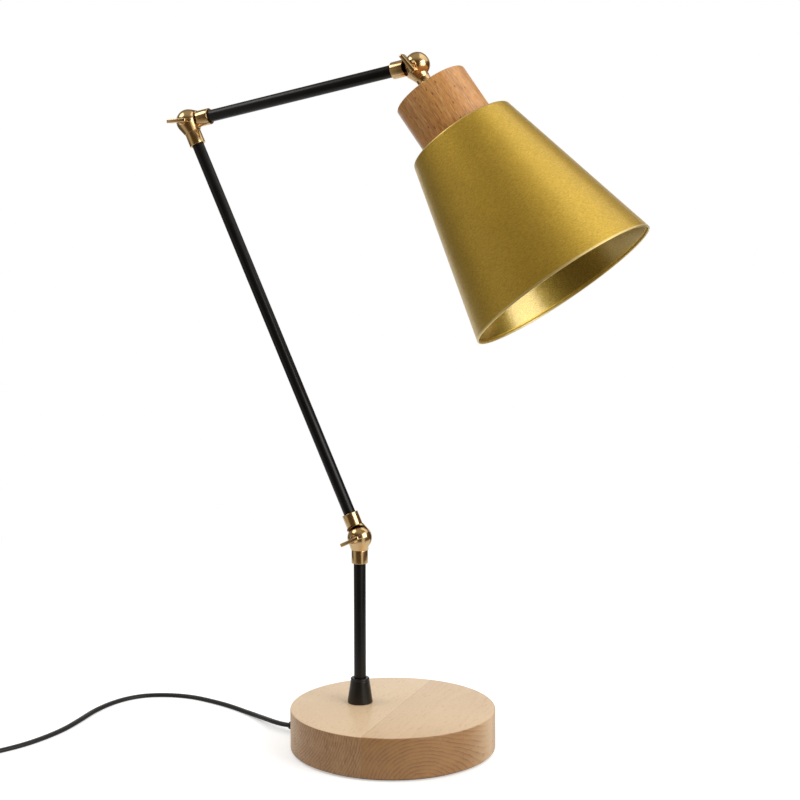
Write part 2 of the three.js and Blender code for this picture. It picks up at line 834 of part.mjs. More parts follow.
function holderCap() {
  const e = holder_cap_round;
  const w = holder_wall;
  const outer = holder_cap_diameter / 2;
  const centre_h = holder_start + e;
  const inner = cornerRadius(nipple_hole_radius, round_steps);
  return turnedSolid([
    [inner, holder_start], ...arcPoints(e, -quarter, 0, edge_steps, outer - e, centre_h),
    [outer, holder_cap_end], [outer - w, holder_cap_end],
    ...arcPoints(e - w, 0, -quarter, edge_steps, outer - e, centre_h),
    [inner, holder_start + w], [inner, holder_start],
  ]);
}

function holderShell() {
  const outer = holder_shell_diameter / 2;
  const inner = holder_bore_diameter / 2;
  return turnedSolid([
    [inner, shell_start], [outer, shell_start], [outer, cap_end], [skirt_radius, cap_end],
    [skirt_radius, skirt_end], [inner, skirt_end], [inner, shell_start],
  ]);
}

function holderInsert() {
  return ring(lead_radius + wire_fit, holder_bore_diameter / 2 - seat_gap, insert_start, insert_end);
}

// A folded strip: a foot on the insert, a rise and a tongue under the bulb's tip
function contactTongue() {
  const foot = -tongue_length * tongue_foot_share;
  const rise = foot + tongue_length * (tongue_rise_share - tongue_foot_share);
  const start = -tongue_length / 2;
  const end = start + tongue_length * tongue_tip_share;
  const t = tongue_thickness;
  const side_view = new THREE.Shape([
    new THREE.Vector2(start, 0),
    new THREE.Vector2(foot, 0),
    new THREE.Vector2(rise, tongue_height),
    new THREE.Vector2(end, tongue_height),
    new THREE.Vector2(end, tongue_height + t),
    new THREE.Vector2(rise - t / 2, tongue_height + t),
    new THREE.Vector2(foot - t / 2, t),
    new THREE.Vector2(start, t),
  ]);
  const strip = raised(side_view, -tongue_width / 2, tongue_width / 2);
  return alongY(strip, -1).translate([0, 0, tongue_start]);
}

function screwShell() {
  const outer = screw_shell_diameter / 2;
  return ring(outer - screw_shell_wall, outer, tongue_start, tongue_start + screw_shell_length);
}

function shadeRing() {
  const low = shade_start + shade_wall + seat_gap;
  const inner = cornerRadius(skirt_radius + slide_fit, round_steps);
  const outer = shade_ring_diameter / 2;
  const wall = inner + shade_ring_wall;
  const flange = low + shade_ring_flange;
  const high = low + shade_ring_height;
  return turnedSolid([
    [inner, low], [outer, low], [outer, flange], [wall, flange], [wall, high], [inner, high], [inner, low],
  ]);
}

// A cone with a flat top plate, a rounded shoulder and a thicker rim at its mouth
function shade() {
  const hole = cornerRadius(skirt_radius + slide_fit, fine_steps);
  const mouth = shade_mouth_diameter / 2;
  const end = shade_start + shade_length;
  const slope = Math.atan2(mouth - shade_top_diameter / 2, shade_length);
  const e = shade_shoulder_radius;
  const w = shade_wall;
  const shoulder_r = shade_top_diameter / 2 - e;
  const shoulder_h = shade_start + e;
  const rim_inner = mouth - shade_rim_thickness;
  const rim_start = end - shade_rim_height;
  const inside = mouth - w - Math.tan(slope) * shade_rim_height;
  return turnedSolid([
    [hole, shade_start], ...arcPoints(e, -quarter, -slope, edge_steps, shoulder_r, shoulder_h),
    [mouth, end - shade_rim_edge], [mouth - shade_rim_edge, end], [rim_inner, end], [rim_inner, rim_start],
    [inside, rim_start], ...arcPoints(e - w, -slope, -quarter, edge_steps, shoulder_r, shoulder_h),
    [hole, shade_start + w], [hole, shade_start],
  ], fine_steps);
}

function bulbTip() {
  const r = bulb_tip_diameter / 2;
  const end = bulb_tip_start + bulb_tip_height;
  return turnedSolid([
    [0, bulb_tip_start], [r - bulb_tip_edge, bulb_tip_start], [r, bulb_tip_start + bulb_tip_edge],
    [r, end], [0, end],
  ], small_steps);
}

function bulbCap() {
  const r = bulb_cap_diameter / 2;
  const end = bulb_cap_start + bulb_cap_length;
  return turnedSolid([
    [0, bulb_cap_start], [bulb_tip_diameter / 2, bulb_cap_start], [r, bulb_cap_start + bulb_cap_shoulder],
    [r, end], [0, end],
  ]);
}

function bulbOutline(inset) {
  const r = bulb_diameter / 2;
  const neck = bulb_neck_diameter / 2 - inset;
  const belly = arcPoints(r - inset, -bulb_belly_angle, quarter, ball_steps, 0, bulb_end - r);
  return [[neck, bulb_glass_start], [neck, bulb_glass_start + bulb_neck_length], ...belly];
}

// Pear-shaped glass with an open neck
function bulbGlass() {
  const outside = bulbOutline(0);
  const inside = bulbOutline(bulb_glass_wall).reverse();
  return turnedSolid([...outside, ...inside, outside[0]]);
}

// The lead from the upper joint through the neck and the nipple into the lampholder
function headLead() {
  const route = [
    [-lead_offset, hub_radius + lead_radius], [-lead_offset, nipple_end],
    [0, insert_start - 2 * lead_radius], [0, insert_start + insert_thickness / 2],
  ].map(([y, z]) => new THREE.Vector3(0, y, z));
  return lead(straightStretches(route), head_lead_steps);
}

function buildHead() {
  const head = turnedGroup(upper_pivot, head_heading, lamp);
  const axis = new THREE.Group();
  axis.position.x = neck_shift;
  head.add(axis);
  const nipple_bore = nipple_diameter / 2 - nipple_wall;
  const washer = ring(nipple_hole_radius, neck_washer_diameter / 2, neck_washer_start, neck_washer_end);
  piece("head_lead", headLead(), cord_black, axis);
  piece("neck_washer", washer, brass, axis);
  piece("neck_nipple", ring(nipple_bore, nipple_diameter / 2, nipple_start, nipple_end), steel, axis);
  piece("wooden_cap", woodenCap(), red_beech, axis);
  piece("lampholder_cap", holderCap(), black_plastic, axis);
  piece("lampholder_shell", holderShell(), black_plastic, axis);
  piece("lampholder_insert", holderInsert(), ceramic, axis);
  piece("contact_tongue", contactTongue(), brass, axis);
  piece("screw_shell", screwShell(), brass, axis);
  piece("shade_ring", shadeRing(), black_plastic, axis);
  piece("shade", shade(), gold_coat, axis);
  piece("bulb_tip", bulbTip(), steel, axis);
  piece("bulb_cap", bulbCap(), steel, axis);
  piece("bulb_glass", bulbGlass(), glass, axis);
}

// Cord: the free lead, the in-line switch, the coil with its tie, and the plug

function directionOf(from, to) {
  return new THREE.Vector3().subVectors(to, from).setZ(0).normalize();
}

function leftOf(direction) {
  return new THREE.Vector3(-direction.y, direction.x, 0).normalize();
}

// A smooth path that never dips below the table and whose frames stay level,
// so that a flat cord carried along it doesn't roll over
class LevelPath extends THREE.CatmullRomCurve3 {
  constructor(points) {
    super(points, false, "centripetal");
  }

  getPoint(t, target = new THREE.Vector3()) {
    const point = super.getPoint(t, target);
    point.z = Math.max(point.z, lie);
    return point;
  }

  computeFrenetFrames(segments) {
    const places = Array.from({ length: segments + 1 }, (_, i) => i / segments);
    const tangents = places.map((place) => this.getTangentAt(place));
    const binormals = tangents.map(leftOf);
    const normals = tangents.map((along, i) => new THREE.Vector3().crossVectors(along, binormals[i]));
    return { tangents, normals, binormals };
  }
}

function cordTube(points, steps) {
  return swept(new LevelPath(points), cord_width, cord_height, cord_sides, steps);
}

const lead_end = lead_route.at(-1);
const switch_heading = directionOf(lead_route.at(-2), lead_end);
const switch_centre = lead_end.clone().addScaledVector(switch_heading, wire_fit + switch_length / 2);
const switch_far = switch_centre.clone().addScaledVector(switch_heading, wire_fit + switch_length / 2);

function levelGroup(place, direction, parent) {
  const group = new THREE.Group();
  group.position.set(place.x, place.y, 0);
  group.rotation.z = Math.atan2(direction.y, direction.x);
  parent.add(group);
  return group;
}

// A long outline with a narrow nose at each end
function switchOutline(inset) {
  const x = switch_length / 2 - inset;
  const y = switch_width / 2 - inset;
  const nose = switch_nose_width / 2 - inset;
  const body_x = x - switch_nose_length;
  const bend_x = x - switch_nose_length / 2;
  const shape = new THREE.Shape();
  shape.moveTo(body_x, -y);
  shape.bezierCurveTo(bend_x, -y, bend_x, -nose, x, -nose);
  shape.lineTo(x, nose);
  shape.bezierCurveTo(bend_x, nose, bend_x, y, body_x, y);
  shape.lineTo(-body_x, y);
  shape.bezierCurveTo(-bend_x, y, -bend_x, nose, -x, nose);
  shape.lineTo(-x, -nose);
  shape.bezierCurveTo(-bend_x, -nose, -bend_x, -y, -body_x, -y);
  return shape;
}

function switchScrewPlace(side) {
  return [(side * switch_screw_spacing) / 2, 0, 0];
}

const switch_base_top = switch_split_height - seat_gap;
const switch_room_top = switch_height - switch_floor;
const switch_room_inset = switch_wall + switch_edge;

function switchBase() {
  let shell = raised(switchOutline(switch_edge), 0, switch_edge);
  shell = shell.add(raised(switchOutline(0), switch_edge, switch_base_top));
  shell = shell.subtract(raised(switchOutline(switch_room_inset), switch_floor, switch_split_height));
  for (const side of sides) {
    const post = rod(switch_post_radius, switch_floor - overrun, switch_base_top);
    const shaft = bore(switch_screw_diameter / 2 + slide_fit, -overrun, switch_split_height);
    const sink_end = switch_screw_sink + switch_screw_head_height;
    const sink = bore(switch_screw_head_diameter / 2 + slide_fit, -overrun, sink_end);
    shell = shell.add(post.translate(switchScrewPlace(side)));
    shell = shell.subtract(shaft.add(sink).translate(switchScrewPlace(side)));
  }
  return shell;
}

function rockerOpening() {
  const x = rocker_length / 2 + rocker_clearance;
  const y = rocker_width / 2 + rocker_clearance;
  return block([-x, -y, switch_split_height], [x, y, switch_height + overrun]);
}

function switchCover() {
  const low = switch_split_height;
  let shell = raised(switchOutline(0), low, switch_height - switch_edge);
  shell = shell.add(raised(switchOutline(switch_edge), switch_height - switch_edge, switch_height));
  shell = shell.subtract(raised(switchOutline(switch_room_inset), low - overrun, switch_room_top));
  shell = shell.subtract(rockerOpening());
  for (const side of sides) {
    const post = rod(switch_post_radius, low, switch_room_top + overrun);
    const thread = bore(switch_screw_diameter / 2 + slide_fit, low - overrun, switch_room_top);
    shell = shell.add(post.translate(switchScrewPlace(side)));
    shell = shell.subtract(thread.translate(switchScrewPlace(side)));
  }
  return shell;
}

// Seen from the side its top is a shallow V: one half stands up while the other is pressed down
function rocker() {
  const x = rocker_length / 2;
  const ridge = rocker_depth / 2;
  const side_view = new THREE.Shape([
    new THREE.Vector2(-x, -ridge), new THREE.Vector2(x, -ridge), new THREE.Vector2(x, ridge + rocker_rise),
    new THREE.Vector2(0, ridge), new THREE.Vector2(-x, ridge + rocker_rise),
  ]);
  return alongY(raised(side_view, -rocker_width / 2, rocker_width / 2), -1);
}

function buildSwitch() {
  const body = levelGroup(switch_centre, switch_heading, lamp);
  piece("switch_base", switchBase(), black_plastic, body);
  piece("switch_cover", switchCover(), black_plastic, body);
  const rocker_mesh = piece("switch_rocker", rocker(), black_plastic, body);
  rocker_mesh.position.z = switch_height - rocker_depth / 2;
  rocker_mesh.rotation.y = rocker_tilt;
  sides.forEach((side, i) => {
    const screw = panScrew(switch_screw_sink, switch_screw_length, switch_screw_diameter,
      switch_screw_head_diameter, switch_screw_head_height - seat_gap);
    piece(`switch_screw_${i + 1}`, screw.translate(switchScrewPlace(side)), steel, body);
  });
}

// The coil lies in two layers: it winds inwards on the table, climbs in the half turn
// where it turns back, and winds outwards on top of the first layer.

const coil_pitch = cord_width + coil_turn_gap;
const coil_rise = cord_height + coil_layer_gap;
const coil_spread = (coil_turns_per_layer * coil_pitch) / 2;
const coil_outer = coil_mean_radius + coil_spread;
const coil_inner = coil_mean_radius - coil_spread;
const coil_centre = new THREE.Vector3(coil_entry.x + coil_outer, coil_entry.y - cord_width, 0);
const coil_turns = 2 * coil_turns_per_layer;

function coilPoint(turns) {
  const from_middle = turns - coil_turns_per_layer;
  const radius = coil_inner + coil_pitch * Math.abs(from_middle);
  const climb_share = THREE.MathUtils.clamp(from_middle / coil_climb_turns + middle_share, 0, 1);
  const angle = coil_start_angle + turns * turn;
  const across = new THREE.Vector3(Math.cos(angle), Math.sin(angle), 0);
  return coil_centre.clone().addScaledVector(across, radius).setZ(lie + coil_rise * climb_share);
}

// The winding's points, with a straight stretch of one cord width at each end
function coilPoints() {
  const count = Math.round(coil_turns * coil_steps_per_turn);
  const winding = Array.from({ length: count + 1 }, (_, i) => coilPoint((i * coil_turns) / count));
  const before = winding[0].clone().addScaledVector(directionOf(winding[1], winding[0]), cord_width);
  const way_out = directionOf(winding.at(-2), winding.at(-1));
  const after = winding.at(-1).clone().addScaledVector(way_out, cord_width);
  return [before, ...winding, after];
}

// The flat six-sided section at one of the winding's points
function coilSection(points, i) {
  const before = points[Math.max(i - 1, 0)];
  const after = points[Math.min(i + 1, points.length - 1)];
  const along = new THREE.Vector3().subVectors(after, before).normalize();
  const across = leftOf(along);
  const up = new THREE.Vector3().crossVectors(along, across);
  const tallest = Math.sin(turn / coil_sides);
  return Array.from({ length: coil_sides }, (_, k) => {
    const angle = (k * turn) / coil_sides;
    const wide = (Math.cos(angle) * cord_width) / 2;
    const tall = (Math.sin(angle) * cord_height) / 2 / tallest;
    return points[i].clone().addScaledVector(across, wide).addScaledVector(up, tall);
  });
}

// Sections joined to one tube, closed at both ends
function woundTube(points) {
  const corners = points.flatMap((_, i) => coilSection(points, i));
  const n = coil_sides;
  const index = [];
  for (let i = 0; i < points.length - 1; i += 1) {
    for (let k = 0; k < n; k += 1) {
      const a = i * n + k;
      const b = i * n + ((k + 1) % n);
      index.push(a, b, a + n, b, b + n, a + n);
    }
  }
  const end = (points.length - 1) * n;
  for (let k = 1; k < n - 1; k += 1) {
    index.push(0, k + 1, k, end, end + k, end + k + 1);
  }
  const geometry = new THREE.BufferGeometry().setFromPoints(corners);
  geometry.setIndex(index);
  return solid(geometry);
}

// Distance between two of the flat sections, from how far they lie beside and above each other
function sectionGap(beside, above) {
  const w = cord_width;
  const h = cord_height;
  const sloping = (h * beside + (w * above) / 2 - w * h) / Math.hypot(h, w / 2);
  return Math.max(above - h, sloping);
}

// Least gap between stretches of the coil that lie at least half a turn apart
function coilGap(points) {
  const apart = Math.round(coil_steps_per_turn / 2);
  const gaps = points.flatMap((p, i) => points.slice(i + apart).map((q) => (
    sectionGap(Math.hypot(p.x - q.x, p.y - q.y), Math.abs(p.z - q.z))
  )));
  return Math.min(...gaps);
}

// A clip over the coil's band, with a leg inside and outside of it
function coilTie() {
  const outer = coil_outer + cord_width / 2 + tie_clearance;
  const inner = coil_inner - cord_width / 2 - tie_clearance;
  const under = cord_height + coil_rise + tie_clearance;
  const y = tie_width / 2;
  const t = tie_thickness;
  const bridge = block([inner - t, -y, 0], [outer + t, y, under + t]);
  const room = block([inner, -y - overrun, -overrun], [outer, y + overrun, under]);
  return bridge.subtract(room).translate(coil_centre.toArray());
}

const coil_path = coilPoints();
const coil_end = coil_path.at(-1);
const tail_heading = directionOf(coil_path.at(-2), coil_end);
console.log(`least gap between the coil's turns: ${coilGap(coil_path).toFixed(2)} mm`);

// From the switch down to the table and to the coil
function middleStretch() {
  const coil_heading = directionOf(coil_path[0], coil_path[1]);
  const start = switch_far.clone();
  const begin = start.clone().addScaledVector(switch_heading, cord_width);
  const entry = coil_path[0].clone().addScaledVector(coil_heading, -wire_fit);
  const before = entry.clone().addScaledVector(coil_heading, -2 * cord_width);
  const between = begin.clone().lerp(before, middle_share);
  return cordTube([start, begin, between, before, entry], cord_middle_steps);
}

// From the coil's top layer straight on to the plug
const tail_start = coil_end.clone().addScaledVector(tail_heading, wire_fit);
const plug_cord_height = plug_height / 2;

function tailStretch() {
  const heights = [tail_start.z, tail_start.z, plug_cord_height, plug_cord_height];
  const points = heights.map((height, i) => {
    const distance = (tail_length * i) / (heights.length - 1);
    return tail_start.clone().addScaledVector(tail_heading, distance).setZ(height);
  });
  return cordTube(points, cord_tail_steps);
}

function plugOutline() {
  const y = plug_width / 2;
  const nose = plug_nose_width / 2;
  const c = plug_corner;
  const bend_x = plug_nose_length / 2;
  const shape = new THREE.Shape();
  shape.moveTo(0, -nose);
  shape.bezierCurveTo(bend_x, -nose, bend_x, -y, plug_nose_length, -y);
  shape.absarc(plug_length - c, c - y, c, -quarter, 0);
  shape.absarc(plug_length - c, y - c, c, 0, quarter);
  shape.lineTo(plug_nose_length, y);
  shape.bezierCurveTo(bend_x, y, bend_x, nose, 0, nose);
  return shape;
}

function pinPlace(side) {
  return [0, (side * pin_spacing) / 2, plug_cord_height];
}

function plugBody() {
  let body = raised(plugOutline(), 0, plug_height);
  for (const side of sides) {
    const seat = bore(pin_diameter / 2 + slide_fit, plug_length - pin_seat, plug_length + overrun);
    body = body.subtract(alongX(seat).translate(pinPlace(side)));
  }
  return body;
}

function plugPin() {
  const r = pin_diameter / 2;
  const low = plug_length - pin_seat + seat_gap;
  const high = plug_length + pin_length;
  const outline = [[0, low], [r, low], [r, high - pin_edge], [r - pin_edge, high], [0, high]];
  return alongX(turnedSolid(outline, small_steps));
}

function buildPlug() {
  const place = tail_start.clone().addScaledVector(tail_heading, tail_length + wire_fit);
  const group = levelGroup(place, tail_heading, lamp);
  piece("plug_body", plugBody(), black_plastic, group);
  sides.forEach((side, i) => {
    piece(`plug_pin_${i + 1}`, plugPin().translate(pinPlace(side)), brass, group);
  });
}

function buildCord() {
  piece("cord_lead", cordTube(lead_route, cord_lead_steps), cord_black, lamp);
  piece("cord_middle", middleStretch(), cord_black, lamp);
  piece("cord_coil", woundTube(coil_path), cord_black, lamp);
  piece("cord_tie", coilTie(), black_plastic, lamp);
  piece("cord_tail", tailStretch(), cord_black, lamp);
}

// The whole lamp

piece("base_disc", baseDisc(), beech, lamp);
piece("base_pad", rod(pad_radius, 0, pad_thickness - seat_gap, fine_steps), felt, lamp);
buildWeight();
buildStem();
buildCordEntry();
buildJoint("lower_joint", lower_pivot, 2 * quarter, lower_heading, wing_tilts[0], 0);
buildArm("lower_arm", lower_pivot, lower_heading, lower_arm_length, -1);
buildJoint("middle_joint", middle_pivot, lower_heading + 2 * quarter, upper_heading, wing_tilts[1], 0);
buildArm("upper_arm", middle_pivot, upper_heading, upper_arm_length, 1);
buildJoint("upper_joint", upper_pivot, head_heading, upper_heading + 2 * quarter, wing_tilts[2], neck_shift);
buildHead();
buildCord();
buildSwitch();
buildPlug();

export default lamp;
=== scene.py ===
# %% [markdown]
# # A desk lamp with two swing arms
#
# The lamp has a turned beech base, a black stem and two black tube arms, three split-ball
# joints of brass with wing screws, a cap of steamed beech and a conical shade painted gold.
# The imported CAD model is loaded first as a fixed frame. It says where each piece is and what
# it moves with. Each piece that shows is then made again with finer edges and dressed.

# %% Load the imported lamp
import json
import math

import bmesh
import bpy
from mathutils import Matrix, Vector

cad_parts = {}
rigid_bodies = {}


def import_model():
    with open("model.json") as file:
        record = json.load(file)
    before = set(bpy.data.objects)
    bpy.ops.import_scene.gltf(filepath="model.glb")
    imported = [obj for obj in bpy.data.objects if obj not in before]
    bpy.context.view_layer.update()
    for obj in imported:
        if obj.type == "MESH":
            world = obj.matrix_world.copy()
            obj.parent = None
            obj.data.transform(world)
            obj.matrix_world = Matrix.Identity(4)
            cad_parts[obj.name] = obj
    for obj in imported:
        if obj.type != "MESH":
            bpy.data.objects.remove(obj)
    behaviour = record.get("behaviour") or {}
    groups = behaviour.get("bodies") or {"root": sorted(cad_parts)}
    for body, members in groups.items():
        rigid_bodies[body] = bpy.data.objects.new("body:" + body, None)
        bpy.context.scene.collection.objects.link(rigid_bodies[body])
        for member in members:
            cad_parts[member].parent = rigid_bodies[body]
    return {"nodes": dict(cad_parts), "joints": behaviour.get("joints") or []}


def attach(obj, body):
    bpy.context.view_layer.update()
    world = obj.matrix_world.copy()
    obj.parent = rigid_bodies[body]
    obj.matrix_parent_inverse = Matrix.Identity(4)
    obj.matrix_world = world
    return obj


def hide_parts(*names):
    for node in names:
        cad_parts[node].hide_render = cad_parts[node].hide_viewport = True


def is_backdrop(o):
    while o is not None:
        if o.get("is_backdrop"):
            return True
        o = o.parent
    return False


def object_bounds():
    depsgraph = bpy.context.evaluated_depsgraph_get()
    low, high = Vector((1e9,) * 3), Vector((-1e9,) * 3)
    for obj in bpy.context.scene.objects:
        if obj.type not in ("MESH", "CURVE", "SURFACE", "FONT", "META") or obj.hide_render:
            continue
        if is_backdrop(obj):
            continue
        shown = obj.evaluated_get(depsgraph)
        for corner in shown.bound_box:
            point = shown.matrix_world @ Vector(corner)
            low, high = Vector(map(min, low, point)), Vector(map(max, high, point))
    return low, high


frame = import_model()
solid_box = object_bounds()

# %% [markdown]
# ## Sizes and places
#
# Sizes are written in millimetres, as on a workshop drawing, and turned into metres where a
# point goes to Blender. The joints' places come from the frame. Each arm and the head gets a
# place of its own: a matrix whose Z runs along the tube and whose Y is the joints' axis. A
# piece is made lying along Z and is then put there, so that its own coordinates still follow
# it, which the wood grain and the turned finishes use later.

# %% Places of the arms and the head
MM = 0.001
pivots = {joint["name"]: Vector(joint["pos_m"]) for joint in frame["joints"]}
lower_pivot = pivots["lower_joint"]
middle_pivot = pivots["middle_joint"]
upper_pivot = pivots["upper_joint"]
joint_axis = Vector((0, 1, 0))


def along(place, direction):
    """A place whose Z runs in a direction of the XZ plane and whose Y is the joints' axis."""
    z = direction.normalized()
    x = joint_axis.cross(z)
    turned_to = Matrix((x, joint_axis, z)).transposed().to_4x4()
    return Matrix.Translation(place) @ turned_to


head_drop = math.radians(53.6)
neck_shift = 2.6
up = Vector((0, 0, 1))
lower_way = middle_pivot - lower_pivot
upper_way = upper_pivot - middle_pivot
head_way = Vector((math.cos(head_drop), 0, -math.sin(head_drop)))
stem_place = Matrix.Translation((lower_pivot.x, 0, 0))
lower_place = along(lower_pivot, lower_way)
upper_place = along(middle_pivot, upper_way)
head_place = along(upper_pivot, head_way) @ Matrix.Translation((neck_shift * MM, 0, 0))
print(f"lower arm {lower_way.length:.4f} m, upper arm {upper_way.length:.4f} m, joint to joint")

# %% [markdown]
# ## Camera
#
# A long lens from some distance keeps the lamp's verticals straight, as product pictures do.
# It is made before anything else, because the cord is judged by what this camera sees.

# %% Camera
lens = bpy.data.cameras.new("product_lens")
lens.lens = 76.5
lens.sensor_width = 36
lens.clip_end = 50
camera = bpy.data.objects.new("product_camera", lens)
camera.location = (0.5609, -1.2499, 0.4589)
camera.rotation_euler = (math.radians(83.02), 0, math.radians(23.92))
bpy.context.scene.collection.objects.link(camera)
bpy.context.scene.camera = camera
bpy.context.scene.view_settings.view_transform = "Standard"
print(f"camera {camera.location.length:.2f} m from the lamp's foot")

# %% [markdown]
# ## Meshes from points
#
# Every mesh here starts as a list of points and faces. One small helper turns them into an
# object and makes all faces look outwards. Another smooths the shading but keeps sharp edges.

# %% Mesh helpers
def mesh_piece(name, points, faces):
    """An object from points in millimetres and faces given by point numbers."""
    mesh = bpy.data.meshes.new(name)
    mesh.from_pydata([tuple(MM * value for value in point) for point in points], [], faces)
    mesh.validate()
    made = bpy.data.objects.new(name, mesh)
    bpy.context.scene.collection.objects.link(made)
    outwards(made)
    return made


weld_distance = 0.002


def outwards(made):
    """Welds points that lie on each other and turns every face outwards."""
    shell = bmesh.new()
    shell.from_mesh(made.data)
    bmesh.ops.remove_doubles(shell, verts=shell.verts, dist=weld_distance * MM)
    bmesh.ops.dissolve_degenerate(shell, edges=shell.edges, dist=weld_distance * MM)
    bmesh.ops.recalc_face_normals(shell, faces=shell.faces)
    shell.to_mesh(made.data)
    shell.free()


def smooth(made, sharp_from):
    """Shades a piece smooth, but not over edges that bend by more than an angle in degrees."""
    made.data.shade_smooth()
    made.data.set_sharp_from_angle(angle=math.radians(sharp_from))


# %% [markdown]
# ## Cord: a flat twin lead
#
# The lead is a flat twin flex of 5.2 x 3.2 mm: two round cores side by side with a shallow
# groove between them. It could be a bevelled curve, but a curve rolls over in its bends. Here
# the section is carried along the route by hand and kept level, so it lies flat on the table.
# The route's points are those of the CAD model. A centripetal Catmull-Rom curve joins them,
# the kind that makes no loops where points lie close together.

# %% Cord section
cord_width = 5.2
cord_height = 3.2
groove_depth = 0.13
groove_width = 0.45
section_points = 24


def cord_section():
    core = cord_height / 2
    offset = cord_width / 2 - core
    outline = []
    for i in range(section_points):
        angle = math.tau * (i + 0.5) / section_points
        side = math.copysign(offset, math.cos(angle))
        x = side + core * math.cos(angle)
        dip = 1 - groove_depth * math.exp(-((x / groove_width) ** 2))
        outline.append((x, core * math.sin(angle) * dip))
    return outline


flex_outline = cord_section()
print(f"cord section: {len(flex_outline)} points, {cord_width} x {cord_height} mm")

# %% Smooth route through points
lie = cord_height / 2
steps_between = 6


def smooth_route(points):
    """A centripetal Catmull-Rom curve through the points that never dips below the table."""
    ends = [points[0] * 2 - points[1], *points, points[-1] * 2 - points[-2]]
    route = []
    for a, b, c, d in zip(ends, ends[1:], ends[2:], ends[3:]):
        t1 = (b - a).length ** 0.5
        t2 = t1 + (c - b).length ** 0.5
        t3 = t2 + (d - c).length ** 0.5
        for i in range(steps_between):
            t = t1 + (t2 - t1) * i / steps_between
            ab = a.lerp(b, t / t1)
            bc = b.lerp(c, (t - t1) / (t2 - t1))
            cd = c.lerp(d, (t - t2) / (t3 - t2))
            abc = ab.lerp(bc, t / t2)
            bcd = bc.lerp(cd, (t - t1) / (t3 - t1))
            route.append(abc.lerp(bcd, (t - t1) / (t2 - t1)))
    route.append(points[-1].copy())
    for point in route:
        point.z = max(point.z, lie)
    return route


# %% Tube along a route
def level_tube(name, route, outline):
    """The outline carried along the route; its width stays level."""
    points = []
    for i, point in enumerate(route):
        ahead = route[min(i + 1, len(route) - 1)] - route[max(i - 1, 0)]
        ahead.normalize()
        across = up.cross(ahead).normalized()
        rise = ahead.cross(across)
        points += [point + across * x + rise * y for x, y in outline]
    n = len(outline)
    faces = [tuple(range(n)), tuple(range(len(points) - n, len(points)))]
    for i in range(len(route) - 1):
        for k in range(n):
            a = i * n + k
            b = i * n + (k + 1) % n
            faces.append((a, b, b + n, a + n))
    return mesh_piece(name, points, faces)


def route_length(route):
    return MM * sum((b - a).length for a, b in zip(route, route[1:]))


# %% Lead from the base to the switch
lead_points = [Vector(point) for point in [
    (-97.3, 0, 6.2), (-99.5, 0, 6.2), (-105, 0.9, 6.1), (-114, 4.7, 5.6), (-125, 11.6, 4.5),
    (-139, 20.9, 2.9), (-160.2, 32.4, lie), (-181.5, 41, lie), (-201.9, 46.6, lie),
    (-221.2, 49.8, lie), (-238, 48.5, lie), (-252.7, 43.7, lie), (-265.3, 35.4, lie),
    (-274.4, 21.9, lie), (-279.6, 2.9, lie), (-280.5, -22.2, lie), (-277.5, -48, lie),
    (-275.4, -74, lie), (-277, -99, lie), (-282, -123, lie), (-290.5, -144, lie),
    (-296.9, -155, 3.3), (-301.4, -162.8, 5.6), (-303.4, -166.3, 6), (-304.4, -168, 6),
]]
lead_route = smooth_route(lead_points)
fine_cord_lead = level_tube("fine_cord_lead", lead_route, flex_outline)
print(f"lead: {route_length(lead_route):.3f} m from the base to the switch")

# %% [markdown]
# The rest of the 1.8 m is put away as for storage. It goes through the in-line switch, winds
# inwards on the table, climbs in half a turn and winds outwards on top, and ends in the plug.
# The coil is a spiral worked out from its centre, its pitch and its height for each turn.

# %% Coil, wound in two layers
wire_fit = 0.3
switch_length = 62
switch_heading = (lead_points[-1] - lead_points[-2]).normalized()
switch_centre = lead_points[-1] + switch_heading * (wire_fit + switch_length / 2)
switch_far = switch_centre + switch_heading * (wire_fit + switch_length / 2)

turns_per_layer = 3.625
climb_turns = 0.5
coil_pitch = 5.8
coil_rise = 3.8
coil_mean_radius = 28.6
coil_outer = coil_mean_radius + turns_per_layer * coil_pitch / 2
coil_inner = coil_mean_radius - turns_per_layer * coil_pitch / 2
coil_entry = Vector((-341, -252, 0))
coil_centre = coil_entry + Vector((coil_outer, -cord_width, 0))
steps_per_turn = 48


def coil_point(turns):
    from_middle = turns - turns_per_layer
    radius = coil_inner + coil_pitch * abs(from_middle)
    share = min(max(from_middle / climb_turns + 0.5, 0), 1)
    angle = math.pi + turns * math.tau
    across = Vector((math.cos(angle), math.sin(angle), 0))
    return coil_centre + across * radius + up * (lie + coil_rise * share)


coil_count = round(2 * turns_per_layer * steps_per_turn)
winding = [coil_point(2 * turns_per_layer * i / coil_count) for i in range(coil_count + 1)]
print(f"coil: {2 * turns_per_layer} turns, {route_length(winding):.3f} m")

# %% Cord from the switch through the coil to the plug
tail_length = 36.4
tail_heights = (5.4, 5.4, 6.75, 6.75)
way_in = (winding[1] - winding[0]).normalized()
way_out = Vector((winding[-1] - winding[-2])[:2]).normalized().to_3d()
begin = switch_far + switch_heading * cord_width
before = winding[0] - way_in * (3 * cord_width + wire_fit)
tail_start = winding[-1] + way_out * (cord_width + wire_fit)
tail = [tail_start + way_out * (tail_length * i / 3) for i in range(4)]
for point, height in zip(tail, tail_heights):
    point.z = height
wound_route = smooth_route([switch_far, begin, begin.lerp(before, 0.5), before,
                            winding[0] - way_in * cord_width])
wound_route += winding[:-1] + smooth_route([winding[-1], *tail])
fine_cord_wound = level_tube("fine_cord_wound", wound_route, flex_outline)
print(f"switch to plug: {route_length(wound_route):.3f} m, coil included")

# %% [markdown]
# ## Turned pieces
#
# Most of this lamp is turned on a lathe, so its pieces are made the same way: an outline of
# radius and height goes round the axis. Blender's Screw modifier could do it. Plain code is
# used, so that an outline's corner can carry the radius of its rounding, as on a drawing.

